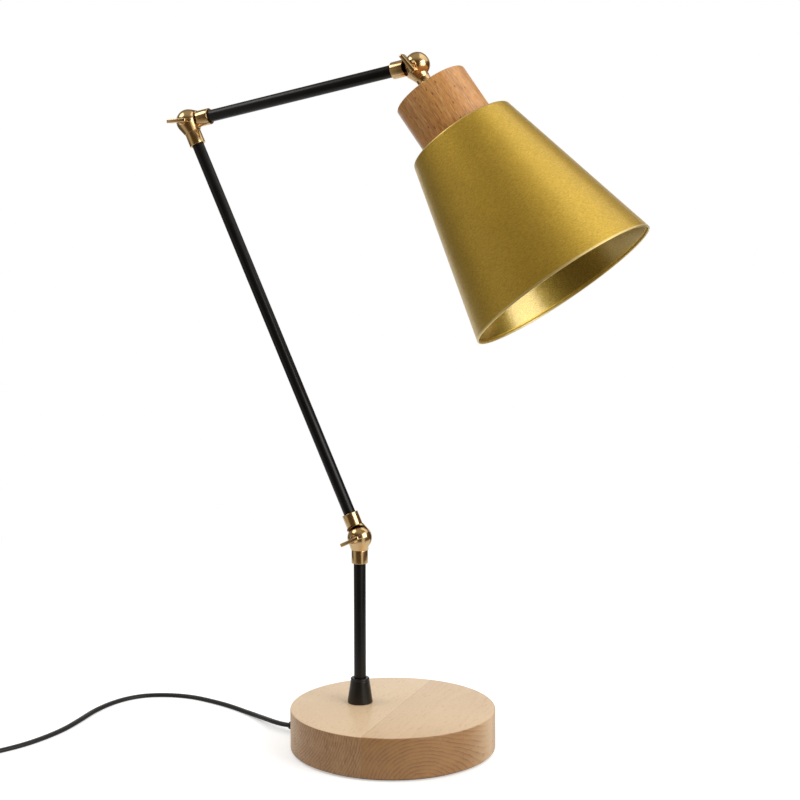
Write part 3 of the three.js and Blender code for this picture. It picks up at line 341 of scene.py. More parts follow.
# %% Outline with rounded corners
def eased(corners, steps=5):
    """Corners (x, y) or (x, y, rounding); a rounded one becomes an arc."""
    outline = []
    count = len(corners)
    for i, corner in enumerate(corners):
        here = Vector(corner[:2])
        rounding = corner[2] if len(corner) > 2 else 0
        if not rounding:
            outline.append(tuple(here))
            continue
        back = (Vector(corners[i - 1][:2]) - here).normalized()
        ahead = (Vector(corners[(i + 1) % count][:2]) - here).normalized()
        half = back.angle(ahead) / 2
        centre = here + (back + ahead).normalized() * (rounding / math.sin(half))
        first = here + back * (rounding / math.tan(half)) - centre
        bend = back.angle_signed(ahead)
        sweep = math.copysign(math.pi - 2 * half, bend)
        for k in range(steps + 1):
            spin = Matrix.Rotation(sweep * k / steps, 2)
            outline.append(tuple(centre + spin @ first))
    return outline


# %% Turning an outline about Z
on_axis = 1e-6


def turned(name, outline, steps=96):
    """Turns an outline of (radius, height) about Z; it closes on itself or on the axis."""
    points = []
    rings = []
    for radius, height in outline:
        count = 1 if radius < on_axis else steps
        rings.append([len(points) + i % count for i in range(steps)])
        for i in range(count):
            angle = math.tau * i / steps
            points.append((radius * math.cos(angle), radius * math.sin(angle), height))
    faces = []
    pairs = list(zip(rings, rings[1:] + rings[:1]))
    if outline[0][0] < on_axis and outline[-1][0] < on_axis:
        pairs.pop()
    for low, high in pairs:
        for i in range(steps):
            k = (i + 1) % steps
            face = dict.fromkeys((low[i], low[k], high[k], high[i]))
            if len(face) > 2:
                faces.append(tuple(face))
    return mesh_piece(name, points, faces)


# %% [markdown]
# ## Cutting, joining and edges
#
# Holes and joined forms are booleans, as in the CAD model. Each is applied at once and its
# cutter removed, so that nothing is left standing about in the scene. A narrow bevel then
# breaks the sharp edges, as a file or a deburring wheel does on the real piece. It catches the
# light, and that is much of what makes metal look like metal.

# %% Boolean and bevel helpers
def settle(made):
    """Makes a piece's modifiers part of its mesh."""
    bpy.context.view_layer.update()
    graph = bpy.context.evaluated_depsgraph_get()
    mesh = bpy.data.meshes.new_from_object(made.evaluated_get(graph))
    made.modifiers.clear()
    made.data = mesh
    outwards(made)
    return made


def combine(made, other, how="DIFFERENCE"):
    """Cuts another piece out of this one, or joins it to it, and removes the other."""
    change = made.modifiers.new(how.lower(), "BOOLEAN")
    change.operation = how
    change.solver = "EXACT"
    change.object = other
    settle(made)
    bpy.data.objects.remove(other)
    return made


def break_edges(made, width, segments=2, sharper_than=40):
    """Rounds a piece's sharp edges off, by a width in millimetres."""
    change = made.modifiers.new("edges", "BEVEL")
    change.width = width * MM
    change.segments = segments
    change.limit_method = "ANGLE"
    change.angle_limit = math.radians(sharper_than)
    change.miter_outer = "MITER_ARC"
    return settle(made)


# %% Moving and turning a cutter
def moved(made, matrix):
    """Moves a piece's points, in millimetres, before it is cut or joined."""
    shift = matrix.copy()
    shift.translation *= MM
    made.data.transform(shift)
    return made


def by(x=0, y=0, z=0):
    return Matrix.Translation((x, y, z))


def rod(radius, low, high, steps=48):
    """A round bar along Z, for cutting holes."""
    return turned("cutter", [(0, low), (radius, low), (radius, high), (0, high)], steps)


quarter = math.pi / 2
to_x = Matrix.Rotation(quarter, 4, "Y")
to_minus_x = Matrix.Rotation(-quarter, 4, "Y")
to_y = Matrix.Rotation(-quarter, 4, "X")
to_minus_y = Matrix.Rotation(quarter, 4, "X")

# %% Raised outlines
def raised(name, outline, low, high):
    """An outline in the XY plane raised from one height to another."""
    n = len(outline)
    points = [(x, y, low) for x, y in outline] + [(x, y, high) for x, y in outline]
    faces = [tuple(range(n)), tuple(range(n, 2 * n))]
    faces += [(i, (i + 1) % n, n + (i + 1) % n, n + i) for i in range(n)]
    return mesh_piece(name, points, faces)


def box(low, high):
    (x0, y0, z0), (x1, y1, z1) = low, high
    return raised("cutter", [(x0, y0), (x1, y0), (x1, y1), (x0, y1)], z0, z1)


# %% [markdown]
# ## Materials from nodes
#
# Every finish is made of procedural nodes, so it needs no picture and no unwrapping. A helper
# adds a node, sets its plain values and links its inputs. Texture coordinates are the piece's
# own, scaled to millimetres, so that each detail can be given its real size.

# %% Node helpers
def material(slot):
    """A finish is named after the part's material slot that it stands for."""
    made = bpy.data.materials.new(f"{slot}_finish")
    made.use_nodes = True
    made.node_tree.nodes.clear()
    return made, made.node_tree


def node(tree, kind, inputs=(), **settings):
    """Adds a node; inputs pairs a socket's name or number with a value or another socket."""
    made = tree.nodes.new("ShaderNode" + kind)
    for name, value in settings.items():
        setattr(made, name, value)
    for key, value in dict(inputs).items():
        if isinstance(value, bpy.types.NodeSocket):
            tree.links.new(value, made.inputs[key])
        else:
            made.inputs[key].default_value = value
    return made


def math_node(tree, operation, *values):
    return node(tree, "Math", enumerate(values), operation=operation).outputs[0]


def times(tree, one, other):
    return math_node(tree, "MULTIPLY", one, other)


def parts(tree, vector):
    """The X, Y and Z of a vector."""
    split = node(tree, "SeparateXYZ", {0: vector})
    return [split.outputs[i] for i in range(3)]


def measure(tree, operation, *vectors):
    """A number from vectors: a length, a distance or a dot product."""
    return node(tree, "VectorMath", enumerate(vectors), operation=operation).outputs[1]


def from_axis(tree, one, other):
    """How far a point is from an axis, given its two coordinates across that axis."""
    return measure(tree, "LENGTH", node(tree, "CombineXYZ", {0: one, 1: other}).outputs[0])


# %% Patterns and ranges
def millimetres(tree, scale=(1, 1, 1), location=(0, 0, 0), rotation=(0, 0, 0)):
    """The piece's own coordinates in millimetres, stretched by a scale for each axis."""
    own = node(tree, "TexCoord").outputs["Object"]
    full = tuple(value / MM for value in scale)
    inputs = {"Vector": own, "Scale": full, "Location": location, "Rotation": rotation}
    return node(tree, "Mapping", inputs).outputs[0]


def noise(tree, vector, size, detail=3, roughness=0.5):
    """Noise from 0 to 1 whose blotches are about size across, in the vector's units."""
    inputs = {"Vector": vector, "Scale": 1 / size, "Detail": detail, "Roughness": roughness}
    return node(tree, "TexNoise", inputs).outputs[0]


def cells(tree, vector, size):
    """Cells about size across: how far a point is from its cell's seed, and a random number."""
    voronoi = node(tree, "TexVoronoi", {"Vector": vector, "Scale": 1 / size, "Randomness": 1})
    chance = node(tree, "SeparateColor", {0: voronoi.outputs["Color"]}).outputs[0]
    return voronoi.outputs["Distance"], chance


def spread(tree, value, low, high, to_low=0, to_high=1):
    """Stretches a value's range from low..high to other limits."""
    inputs = {0: value, 1: low, 2: high, 3: to_low, 4: to_high}
    return node(tree, "MapRange", inputs, interpolation_type="SMOOTHSTEP").outputs[0]


# %% Tones
def colour(red, green, blue):
    return (red, green, blue, 1)


def grey(value):
    return colour(value, value, value)


def mixed(tree, share, first, second):
    inputs = {0: share, 6: first, 7: second}
    return node(tree, "Mix", inputs, data_type="RGBA").outputs[2]


def two_tones(tree, share, first, second):
    """Goes from one plain colour to another as the share goes from 0 to 1."""
    return mixed(tree, share, colour(*first), colour(*second))


def stained(tree, tone, share, stain, strength=None):
    """Lays a plain colour over a tone, by a share and at a strength of its own."""
    if strength is not None:
        share = times(tree, share, strength)
    return mixed(tree, share, tone, colour(*stain))


# %% Shader and dressing a piece
def finish_surface(tree, inputs, relief=None, depth=0):
    """The shader itself; relief is a height from 0 to 1 and depth its size in millimetres."""
    inputs = dict(inputs)
    if relief is not None:
        bumped = {"Height": relief, "Distance": depth * MM, "Strength": 1}
        inputs["Normal"] = node(tree, "Bump", bumped).outputs[0]
    shader = node(tree, "BsdfPrincipled", inputs)
    node(tree, "OutputMaterial", {0: shader.outputs[0]})


def dress(made, finish, body, *nodes, place=None, sharp_from=35):
    """Smooths a piece, places it, gives it its finish and its body, and hides the CAD nodes it
    stands in for.
    """
    smooth(made, sharp_from)
    if place is not None:
        made.matrix_world = place
    made.data.materials.clear()
    made.data.materials.append(finish)
    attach(made, body)
    if nodes:
        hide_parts(*nodes)
    return made


# %% [markdown]
# ## Wood
#
# A tree's rings are tubes about its pith, so a board shows arcs at its ends and long lines
# along its faces. Plain noise could make a wooden look, but its grain would not agree from one
# face to the next. The function below works as the tree does: it takes the distance from a pith
# line and turns it into rings. Beech also has short dark rays, which show as small dashes along
# the grain. The base is glued from two boards with different piths. Its end grain drinks more
# lacquer and comes out darker. Its sides get a darker tone than its top as painted shade, the
# right board's darker still, and each board's side turns from pale to dark at its own place.

# %% Rings and rays
ring_profile = [(0, 0.15), (0.55, 0.4), (0.86, 1), (1, 0.15)]
fine_wander = 1.5


def ring_tone(tree, grain, ring_width, wander, profile):
    """Rings about the pith. In grain's coordinates the pith is the Y axis."""
    drift = noise(tree, grain, 38, 2)
    fine_drift = noise(tree, grain, 6, 3)
    x, _, z = parts(tree, grain)
    distance = math_node(tree, "MULTIPLY_ADD", drift, wander, from_axis(tree, x, z))
    distance = math_node(tree, "MULTIPLY_ADD", fine_drift, fine_wander, distance)
    year = math_node(tree, "FRACT", math_node(tree, "DIVIDE", distance, ring_width))
    ramp = node(tree, "ValToRGB", {0: year})
    stops = ramp.color_ramp.elements
    for stop, (position, tone) in zip(stops, (profile[0], profile[-1])):
        stop.position = position
        stop.color = grey(tone)
    for position, tone in profile[1:-1]:
        stops.new(position).color = grey(tone)
    return ramp.outputs[0]


def rays(tree, stretched, size, share):
    """Small dashes: cells of a stretched Voronoi pattern, of which only a share is dark."""
    from_seed, chance = cells(tree, stretched, size)
    dot = spread(tree, from_seed, 0.16, 0.34, 1, 0)
    return times(tree, dot, math_node(tree, "LESS_THAN", chance, share))


# %% Two boards glued together
seam_place = 4.85
seam_turn = math.radians(3.9)
left_pith = (-96, 52)
right_pith = (46, -7)
# The same way as the seam's, turned by as much
grain_way = (0.068, -0.9977, 0)


def board(tree, pith):
    """Millimetres with X across the board from its pith, Y along the grain and Z up."""
    shift = (-seam_place - pith[0], 0, -pith[1])
    return millimetres(tree, location=shift, rotation=(0, 0, -seam_turn))


def board_rings(tree, on_right):
    left_rings = ring_tone(tree, board(tree, left_pith), 2.3, 4, ring_profile)
    right_rings = ring_tone(tree, board(tree, right_pith), 2.9, 5, ring_profile)
    return mixed(tree, on_right, left_rings, right_rings)


def end_grain_share(tree, on_right, normal):
    """0 where a face runs along the grain and 1 where it cuts across it."""
    facing = math_node(tree, "ABSOLUTE", measure(tree, "DOT_PRODUCT", normal, grain_way))
    # The left board's side turns pale sooner than the right one's
    facing = math_node(tree, "ADD", facing, spread(tree, on_right, 0, 1, -0.3, 0.1))
    return spread(tree, facing, 0, 0.65)


# %% Beech of the base
def make_beech():
    finish, tree = material("beech")
    across = parts(tree, board(tree, (0, 0)))[0]
    on_right = math_node(tree, "GREATER_THAN", across, 0)
    normal = node(tree, "NewGeometry").outputs["Normal"]
    level = parts(tree, normal)[2]
    end_grain = end_grain_share(tree, on_right, normal)
    blotches = noise(tree, millimetres(tree, scale=(1, 0.35, 1)), 30, 2)
    flat_tone = two_tones(tree, blotches, (0.86, 0.64, 0.405), (0.79, 0.57, 0.345))
    end_tone = two_tones(tree, blotches, (0.49, 0.262, 0.105), (0.36, 0.175, 0.06))
    tone = mixed(tree, end_grain, flat_tone, end_tone)
    # Painted shade: faces that stand upright get a darker tone than the top, the right board's
    # darker still
    painted_side_shade = times(tree, spread(tree, level, 0.1, 0.6, 1, 0), 0.32)
    side_shade_tone = two_tones(tree, on_right, (0.72, 0.46, 0.24), (0.52, 0.275, 0.085))
    tone = mixed(tree, painted_side_shade, tone, side_shade_tone)
    # Rings show best on end grain, and in some places better than in others
    vigour = noise(tree, millimetres(tree, scale=(1, 0.3, 1)), 8, 2)
    vigour = spread(tree, vigour, 0.32, 0.66, 0.45, 1)
    ring_depth = times(tree, vigour, spread(tree, end_grain, 0, 1, 0.07, 0.95))
    tone = stained(tree, tone, board_rings(tree, on_right), (0.27, 0.12, 0.045), ring_depth)
    along_grain = millimetres(tree, scale=(1, 0.12, 1), rotation=(0, 0, -seam_turn))
    fibres = noise(tree, along_grain, 0.45, 2)
    tone = stained(tree, tone, spread(tree, fibres, 0.45, 0.8), (0.38, 0.21, 0.10), 0.22)
    dash_depth = spread(tree, level, 0.3, 0.9, 0.65, 0.25)
    dashes = rays(tree, along_grain, 1.5, 0.27)
    tone = stained(tree, tone, dashes, (0.25, 0.12, 0.05), dash_depth)
    # Fine upright lines where the cutter tore the end grain a little, more on the left board
    lines = noise(tree, millimetres(tree, scale=(1, 1, 0.1)), 0.6, 2)
    line_depth = spread(tree, on_right, 0, 1, 0.75, 0.25)
    line_share = times(tree, spread(tree, lines, 0.5, 0.72), line_depth)
    tone = stained(tree, tone, line_share, (0.24, 0.11, 0.045), end_grain)
    seam = spread(tree, math_node(tree, "ABSOLUTE", across), 0.05, 0.28, 0.5, 0)
    tone = stained(tree, tone, seam, (0.28, 0.15, 0.07))
    finish_surface(tree, {
        "Base Color": tone, "Roughness": spread(tree, fibres, 0.2, 0.8, 0.42, 0.52),
        "Coat Weight": 0.25, "Coat Roughness": 0.17,
    }, fibres, 0.02)
    return finish


beech = make_beech()
print(f"beech: {len(beech.node_tree.nodes)} nodes")

# %% [markdown]
# The cap is steamed beech. Steam turns the wood reddish, its grain runs along the cap's own
# axis, and its rays and pores are larger and darker than on the base.

# %% Steamed beech of the cap
cap_pith = (26, 44)


def make_red_beech():
    finish, tree = material("red_beech")
    # The pith runs along Z here, so the piece's Z is turned to the rings' Y
    upright = millimetres(tree, location=(-cap_pith[0], 0, -cap_pith[1]), rotation=(quarter, 0, 0))
    rings = ring_tone(tree, upright, 3.1, 4, ring_profile)
    fibres = noise(tree, millimetres(tree, scale=(1, 1, 0.07)), 0.6, 3, 0.6)
    veins = noise(tree, millimetres(tree, scale=(1, 1, 0.09), location=(7, 3, 5)), 0.65, 3, 0.65)
    streaks = noise(tree, millimetres(tree, scale=(1, 1, 0.05)), 3.2, 3, 0.6)
    blotches = noise(tree, millimetres(tree, scale=(1, 1, 0.4)), 16, 2)
    pores = rays(tree, millimetres(tree, scale=(1, 1, 0.4)), 2.2, 0.13)
    small_pores = rays(tree, millimetres(tree, scale=(1, 1, 0.16)), 0.8, 0.22)
    tone = two_tones(tree, blotches, (0.84, 0.40, 0.085), (0.60, 0.235, 0.036))
    tone = stained(tree, tone, rings, (0.36, 0.125, 0.035), 0.3)
    tone = stained(tree, tone, spread(tree, streaks, 0.45, 0.75, 0, 0.6), (0.36, 0.13, 0.04))
    # Pale streaks along the fibres: partly the wood's own pale fibre, partly a painted sheen of the
    # lacquer
    tone = stained(tree, tone, spread(tree, fibres, 0.48, 0.7, 0, 0.6), (0.97, 0.62, 0.27))
    tone = stained(tree, tone, spread(tree, veins, 0.5, 0.64, 0, 0.6), (0.36, 0.10, 0.012))
    tone = stained(tree, tone, pores, (0.24, 0.06, 0.012), 0.8)
    tone = stained(tree, tone, small_pores, (0.2, 0.08, 0.03), 0.5)
    finish_surface(tree, {
        "Base Color": tone, "Roughness": spread(tree, fibres, 0.2, 0.8, 0.42, 0.55),
        "Coat Weight": 0.9, "Coat Roughness": 0.37,
    }, fibres, 0.03)
    return finish


red_beech = make_red_beech()
print(f"red beech: {len(red_beech.node_tree.nodes)} nodes")

# %% [markdown]
# ## Metals
#
# The joints are turned brass under clear lacquer. It is bright but not a mirror: fine turning
# marks and handling blur what it reflects, and the tone shifts a little from place to place.
# A relief would glitter at this size, so the marks only change how blurred the gloss is.
# The shade is different. Its gold is paint with metal flakes, so it has a soft broad sheen
# and a fine grain. It was sprayed while the shade was turning, so the grain runs round it.
# The noise is squeezed across the axis for that, which needs no angles and leaves no seam.
# Inside, the paint gets a darker tone as painted shade, and a glossier coat. The shoulder and
# the mouth's edge get a paler tone, which is a painted highlight.

# %% Brass
def make_brass():
    finish, tree = material("brass")
    marks = noise(tree, millimetres(tree, scale=(0.2, 0.2, 2)), 0.7, 2)
    clouds = noise(tree, millimetres(tree), 5, 3)
    wear = math_node(tree, "MULTIPLY_ADD", marks, 0.5, clouds)
    finish_surface(tree, {
        "Base Color": two_tones(tree, clouds, (0.80, 0.58, 0.31), (0.68, 0.47, 0.23)),
        "Metallic": 1, "Roughness": spread(tree, wear, 0.4, 1.1, 0.17, 0.25),
    })
    return finish


brass = make_brass()

# %% Where the gold paint differs
# The middle of the wall is 43.9 mm from the axis where the shade starts, and grows from there
wall_growth = 0.2425
wall_start = 43.9 - wall_growth * 66.65
inside_from = 69
inside_to = 208
shoulder_edge = 67.2
mouth_edge = 209.6


def inside_share(tree, own):
    """1 on the shade's inner side: nearer to the axis than the middle of its wall."""
    x, y, z = parts(tree, own)
    wall = math_node(tree, "MULTIPLY_ADD", z, wall_growth, wall_start)
    middle = (inside_from + inside_to) / 2
    between = math_node(tree, "COMPARE", z, middle, inside_to - middle)
    return times(tree, math_node(tree, "LESS_THAN", from_axis(tree, x, y), wall), between)


def painted_highlight_share(tree, own):
    """The two edges where a highlight is painted on."""
    height = parts(tree, own)[2]
    on_shoulder = spread(tree, height, shoulder_edge, shoulder_edge + 1, 0.6, 0)
    on_mouth = spread(tree, height, mouth_edge - 0.6, mouth_edge, 0, 0.6)
    return math_node(tree, "ADD", on_shoulder, on_mouth)


# %% Gold flake paint
flake_size = 0.26


def make_gold_coat():
    finish, tree = material("gold_coat")
    own = millimetres(tree)
    tilt = cells(tree, own, flake_size)[1]
    clouds = noise(tree, own, 14, 3)
    grain = noise(tree, own, 0.5, 2, 0.7)
    sweep = noise(tree, millimetres(tree, scale=(0.28, 0.28, 1)), 0.75, 3, 0.7)
    inside = inside_share(tree, own)
    tone = two_tones(tree, tilt, (0.62, 0.405, 0.055), (0.92, 0.63, 0.10))
    tone = stained(tree, tone, spread(tree, clouds, 0.3, 0.7, 0, 0.12), (0.52, 0.35, 0.06))
    tone = stained(tree, tone, spread(tree, sweep, 0.38, 0.66, 0, 0.5), (0.45, 0.28, 0.03))
    # Painted shade: the inner side of the shade gets a darker tone
    tone = stained(tree, tone, inside, (0.28, 0.205, 0.025), 0.66)
    # Painted highlight: a pale tone along the shoulder and the mouth's edge
    tone = stained(tree, tone, painted_highlight_share(tree, own), (1.0, 0.86, 0.42))
    rough = spread(tree, grain, 0.2, 0.8, 0.36, 0.46)
    relief = math_node(tree, "ADD", sweep, math_node(tree, "ADD", tilt, grain))
    finish_surface(tree, {
        "Base Color": tone, "Metallic": 0.92,
        "Roughness": math_node(tree, "MULTIPLY_ADD", inside, -0.13, rough),
        "Coat Weight": spread(tree, inside, 0, 1, 0.3, 1), "Coat Roughness": 0.23,
        "Coat IOR": spread(tree, inside, 0, 1, 1.5, 1.7),
    }, relief, 0.035)
    return finish


gold_coat = make_gold_coat()

# %% Steel of the fixings
def make_steel():
    finish, tree = material("steel")
    own = millimetres(tree)
    grains = noise(tree, own, 1.2, 4)
    finish_surface(tree, {
        "Base Color": two_tones(tree, grains, (0.50, 0.51, 0.52), (0.66, 0.66, 0.64)),
        "Metallic": 1, "Roughness": spread(tree, grains, 0.2, 0.8, 0.28, 0.42),
    }, noise(tree, own, 0.3, 2), 0.01)
    return finish


steel = make_steel()
print("metals: brass, gold flake paint, steel")

# %% [markdown]
# ## Black finishes and the rest
#
# Three blacks lie side by side on the lamp, and they only differ in their surface. The tubes
# have a baked coat with a fine pebble, the moulded parts a dull spark-eroded skin, and the
# flex is smooth soft plastic. One black for all would do from afar, but it would make the tubes
# look moulded. The dull finishes share one function. Their reliefs are from 0.01 mm deep on the
# plastic to 0.2 mm on the foam.

# %% Black coat of the tubes
def make_black_coat():
    finish, tree = material("black_coat")
    own = millimetres(tree)
    pebble = noise(tree, own, 0.55, 2, 0.4)
    dust = noise(tree, own, 9, 3)
    finish_surface(tree, {
        "Base Color": two_tones(tree, dust, (0.0042, 0.0042, 0.0045), (0.007, 0.007, 0.0075)),
        "Roughness": spread(tree, dust, 0.2, 0.8, 0.28, 0.36), "Specular IOR Level": 0.33,
    }, pebble, 0.015)
    return finish


black_coat = make_black_coat()

# %% Black plastic, cord and washers
def make_dull(name, light, dark, rough, size, depth):
    """A dull finish: two near tones, a roughness range and a fine relief of a given size."""
    finish, tree = material(name)
    own = millimetres(tree)
    clouds = noise(tree, own, 12, 3)
    finish_surface(tree, {
        "Base Color": two_tones(tree, clouds, light, dark),
        "Roughness": spread(tree, clouds, 0.2, 0.8, *rough),
    }, noise(tree, own, size, 3), depth)
    return finish


black_plastic = make_dull("black_plastic", (0.0085, 0.0075, 0.0065), (0.005, 0.0045, 0.004),
                          (0.28, 0.36), 0.4, 0.01)
cord_skin = make_dull("cord", (0.010, 0.010, 0.010), (0.006, 0.006, 0.006),
                      (0.42, 0.52), 0.8, 0.01)
fibre = make_dull("fibre", (0.030, 0.024, 0.019), (0.014, 0.012, 0.010), (0.7, 0.85), 0.3, 0.05)
foam = make_dull("foam", (0.034, 0.034, 0.035), (0.020, 0.020, 0.021), (0.88, 0.97), 0.7, 0.2)
print("blacks: tube coat, moulded plastic, cord, fibre, foam")

# %% Ceramic and opal glass
def make_ceramic():
    finish, tree = material("ceramic")
    own = millimetres(tree)
    specks = spread(tree, noise(tree, own, 0.6, 2), 0.62, 0.72, 0, 0.25)
    tone = two_tones(tree, specks, (0.78, 0.75, 0.68), (0.45, 0.40, 0.33))
    finish_surface(tree, {"Base Color": tone, "Roughness": 0.35}, noise(tree, own, 1.5, 3), 0.02)
    return finish


def make_opal_glass():
    finish, tree = material("opal_glass")
    clouds = noise(tree, millimetres(tree), 22, 3)
    finish_surface(tree, {
        "Base Color": two_tones(tree, clouds, (0.88, 0.86, 0.81), (0.82, 0.80, 0.75)),
        "Roughness": spread(tree, clouds, 0.2, 0.8, 0.12, 0.2),
        "Coat Weight": 0.5, "Coat Roughness": 0.05,
    })
    return finish


ceramic = make_ceramic()
opal_glass = make_opal_glass()
print("ceramic and opal glass")

# %% [markdown]
# ## Base
#
# The base is a thick disc of beech with a recess underneath for the steel weight. Its edges
# are only just broken. A plain cylinder with a bevel would look the same from above, but one
# outline draws the recess as well. A foam pad is glued under it, a little smaller, so it can't
# be seen.

# %% Base disc with its recess and holes
base_bottom = 1.5
base_top = 35
base_radius = 85
recess_radius = 61
recess_ceiling = 21.5
stem_x = lower_pivot.x / MM
tube_hole = 5.15
exit_height = 6.2
exit_hole = 4.45

fine_base_disc = turned("fine_base_disc", eased([
    (0, recess_ceiling), (recess_radius, recess_ceiling), (recess_radius, base_bottom),
    (base_radius, base_bottom, 1.2), (base_radius, base_top, 1.1), (0, base_top),
]), 160)
combine(fine_base_disc, moved(rod(tube_hole, 15, 40), by(stem_x)))
combine(fine_base_disc, moved(moved(rod(exit_hole, 50, 90), to_minus_x), by(z=exit_height)))
dress(fine_base_disc, beech, "base", "base_disc")
print(f"base disc: {2 * base_radius} mm across, {base_top - base_bottom} mm thick")

# %% Foam pad
pad_radius = 81
pad_top = 1.25
fine_base_pad = turned("fine_base_pad", eased([
    (0, 0), (pad_radius, 0, 0.3), (pad_radius, pad_top, 0.3), (0, pad_top),
]), 120)
dress(fine_base_pad, foam, "base", "base_pad")
print(f"foam pad: {2 * pad_radius} mm across")

# %% [markdown]
# A small gland leads the cord out of the base. It holds the cord and keeps it from being bent
# sharply at the edge of the hole, so its outer end is drawn out to a slim taper with grooves.
# It is turned upright like the rest and then laid on its side.

# %% Cord gland
gland_outline = eased([
    (0, 74), (4.3, 74, 0.5), (4.3, 85.25), (5.4, 85.25, 0.3), (5.4, 86.15, 0.3), (4.1, 86.15, 0.4),
    (3.9, 88, 0.2), (3.9, 88.6), (3.55, 88.8), (3.55, 89.5), (3.75, 89.7), (3.7, 91), (3.35, 91.2),
    (3.35, 91.9), (3.55, 92.1), (3.5, 93.4), (3.15, 93.6), (3.15, 94.3), (3.3, 94.5),
    (3.1, 97, 0.5), (0, 97),
], 3)
fine_cord_gland = moved(turned("fine_cord_gland", gland_outline, 48), to_minus_x)
moved(fine_cord_gland, by(z=exit_height))
dress(fine_cord_gland, black_plastic, "base", "cord_gland")
print(f"gland: {gland_outline[-1][1] - gland_outline[0][1]} mm long")

# %% [markdown]
# ## Stem and arms
#
# The stem and the arms are drawn steel tubes with a black coat. A tapered plastic cone hides
# the edge of the hole that the stem stands in. The tubes end inside the joints' collars and in
# the base, so only their middles show. A straight curve with a bevel could make a tube. Turning
# its wall instead leaves it open at both ends, with the edges eased, and keeps Z along the tube.

# %% Cone at the stem's foot
cone_outline = eased([
    (5.2, 35.25), (10.5, 35.25, 0.5), (10.35, 37, 0), (8.0, 53.4, 0.5), (7.8, 54.1, 0.3),
    (7.8, 56.25, 0.8), (5.2, 56.25, 0.2),
])
fine_stem_cone = turned("fine_stem_cone", cone_outline, 96)
dress(fine_stem_cone, black_plastic, "base", "stem_cone", place=stem_place)
print(f"stem cone: {cone_outline[-1][1] - cone_outline[0][1]} mm high")

# %% Tubes
tube_radius = 5
tube_wall = 0.8
tube_seat = 10.8
socket_fit = 0.25
stem_foot = 12.5


def black_tube(name, place, low, high, body, replaced):
    inner = tube_radius - tube_wall
    made = turned(name, eased([
        (inner, low, 0.2), (tube_radius, low, 0.3), (tube_radius, high, 0.3), (inner, high, 0.2),
    ], 3), 64)
    dress(made, black_coat, body, replaced, place=place)
    print(f"{name}: {high - low:.1f} mm long")


tube_end = tube_seat + socket_fit
stem_top = lower_pivot.z / MM - tube_end
black_tube("fine_stem_tube", stem_place, stem_foot, stem_top, "base", "stem_tube")
black_tube("fine_lower_tube", lower_place, tube_end, lower_way.length / MM - tube_end,
           "lower_arm", "lower_arm_tube")
black_tube("fine_upper_tube", upper_place, tube_end, upper_way.length / MM - tube_end,
           "upper_arm", "upper_arm_tube")

# %% [markdown]
# ## Split-ball joints
#
# Each joint is a ball cut in two like an orange. Both halves turn about one screw, and each
# carries a collar for its tube. The collar is scooped out beside the other half, so that it
# can swing past. The ball is turned about the screw's axis and the collar about the tube's,
# so a half needs two lathe forms, joined by a boolean, then the scoop, the hollow for the
# wires and the holes. The collar starts as a cone that touches the ball, and a fine groove
# marks where the cone ends. The head's half has a waist instead, like a small vase.

# %% Sizes of a joint
ball_radius = 10.2
hollow_radius = 7.6
hub_radius = 3.4
mating_gap = 0.55
mating_edge = 0.35
collar_radius = 6.8
collar_reach = 21.5
scoop_radius = 11.3
ring_radius = 7.1
ring_end = 10.2
cone_start = (9.5, 3.7)
wire_offset = 2.4
wire_radius = 1.7
screw_radius = 2.15
screw_depth = ball_radius - 1.5
joint_sharp = 28


def arc(radius, start, stop, steps):
    """Points (x, y) on an arc about the origin, its angles given in radians."""
    angles = [start + (stop - start) * i / steps for i in range(steps + 1)]
    return [(radius * math.cos(a), radius * math.sin(a)) for a in angles]


# %% Ball, hollow and collar
def half_ball(name):
    start = math.asin((mating_gap + mating_edge) / ball_radius)
    rim = ball_radius * math.cos(start) - 0.15
    curve = arc(ball_radius, start, quarter, 24)
    return turned(name, [(0, mating_gap), (rim, mating_gap), *curve[:-1], (0, ball_radius)])


def half_hollow():
    start = math.asin(mating_gap / hollow_radius)
    stop = math.acos(hub_radius / hollow_radius)
    curve = arc(hollow_radius, start, stop, 12)
    low = mating_gap - 1
    return turned("cutter", [(hub_radius, low), (hollow_radius, low), *curve], 48)


def collar_outline(shift):
    """The collar's outside, from its foot to its mouth; the shifted one has the waist."""
    straight = [(ring_radius, ring_end, 0.3), (collar_radius - 0.1, ring_end + 0.2),
                (collar_radius, ring_end + 0.5), (collar_radius, collar_reach, 0.45)]
    waisted = [(7.2, 8.6, 1.2), (5.9, 11.8, 2), (5.9, 14.6, 3), (8.1, 20.2, 0.6),
               (8.1, collar_reach, 0.4)]
    return [(0, cone_start[1]), cone_start, *(waisted if shift else straight)]


# %% One half of a joint
def joint_half(name, side, shift):
    """side is -1 for the half under the wing screw and 1 for the far half."""
    across = to_y if side > 0 else to_minus_y
    collar = turned("collar", eased([
        *collar_outline(shift),
        (tube_hole, collar_reach, 0.25), (tube_hole, tube_seat), (0, tube_seat),
    ], 4))
    moved(collar, by(shift))
    combine(collar, moved(rod(scoop_radius, -ball_radius - 1, mating_gap, 96), across))
    half = moved(half_ball(name), across)
    combine(half, collar, "UNION")
    combine(half, moved(half_hollow(), across))
    hole_end = ball_radius + 1 if side < 0 else screw_depth
    combine(half, moved(rod(screw_radius, -1, hole_end, 32), across))
    wire_hole = rod(wire_radius, hub_radius + 1, tube_seat + 1, 24)
    return combine(half, moved(wire_hole, by(shift, side * wire_offset)))


# %% The six halves
halves = {}


def place_half(name, side, shift, place, body, replaced):
    """Halves of one shape are made once and then copied."""
    if (side, shift) in halves:
        half = halves[side, shift].copy()
        half.data = half.data.copy()
        half.name = name
        bpy.context.scene.collection.objects.link(half)
    else:
        half = halves[side, shift] = joint_half(name, side, shift)
    dress(half, brass, body, replaced, place=place, sharp_from=joint_sharp)
    print(f"{name}: {len(half.data.polygons)} faces")


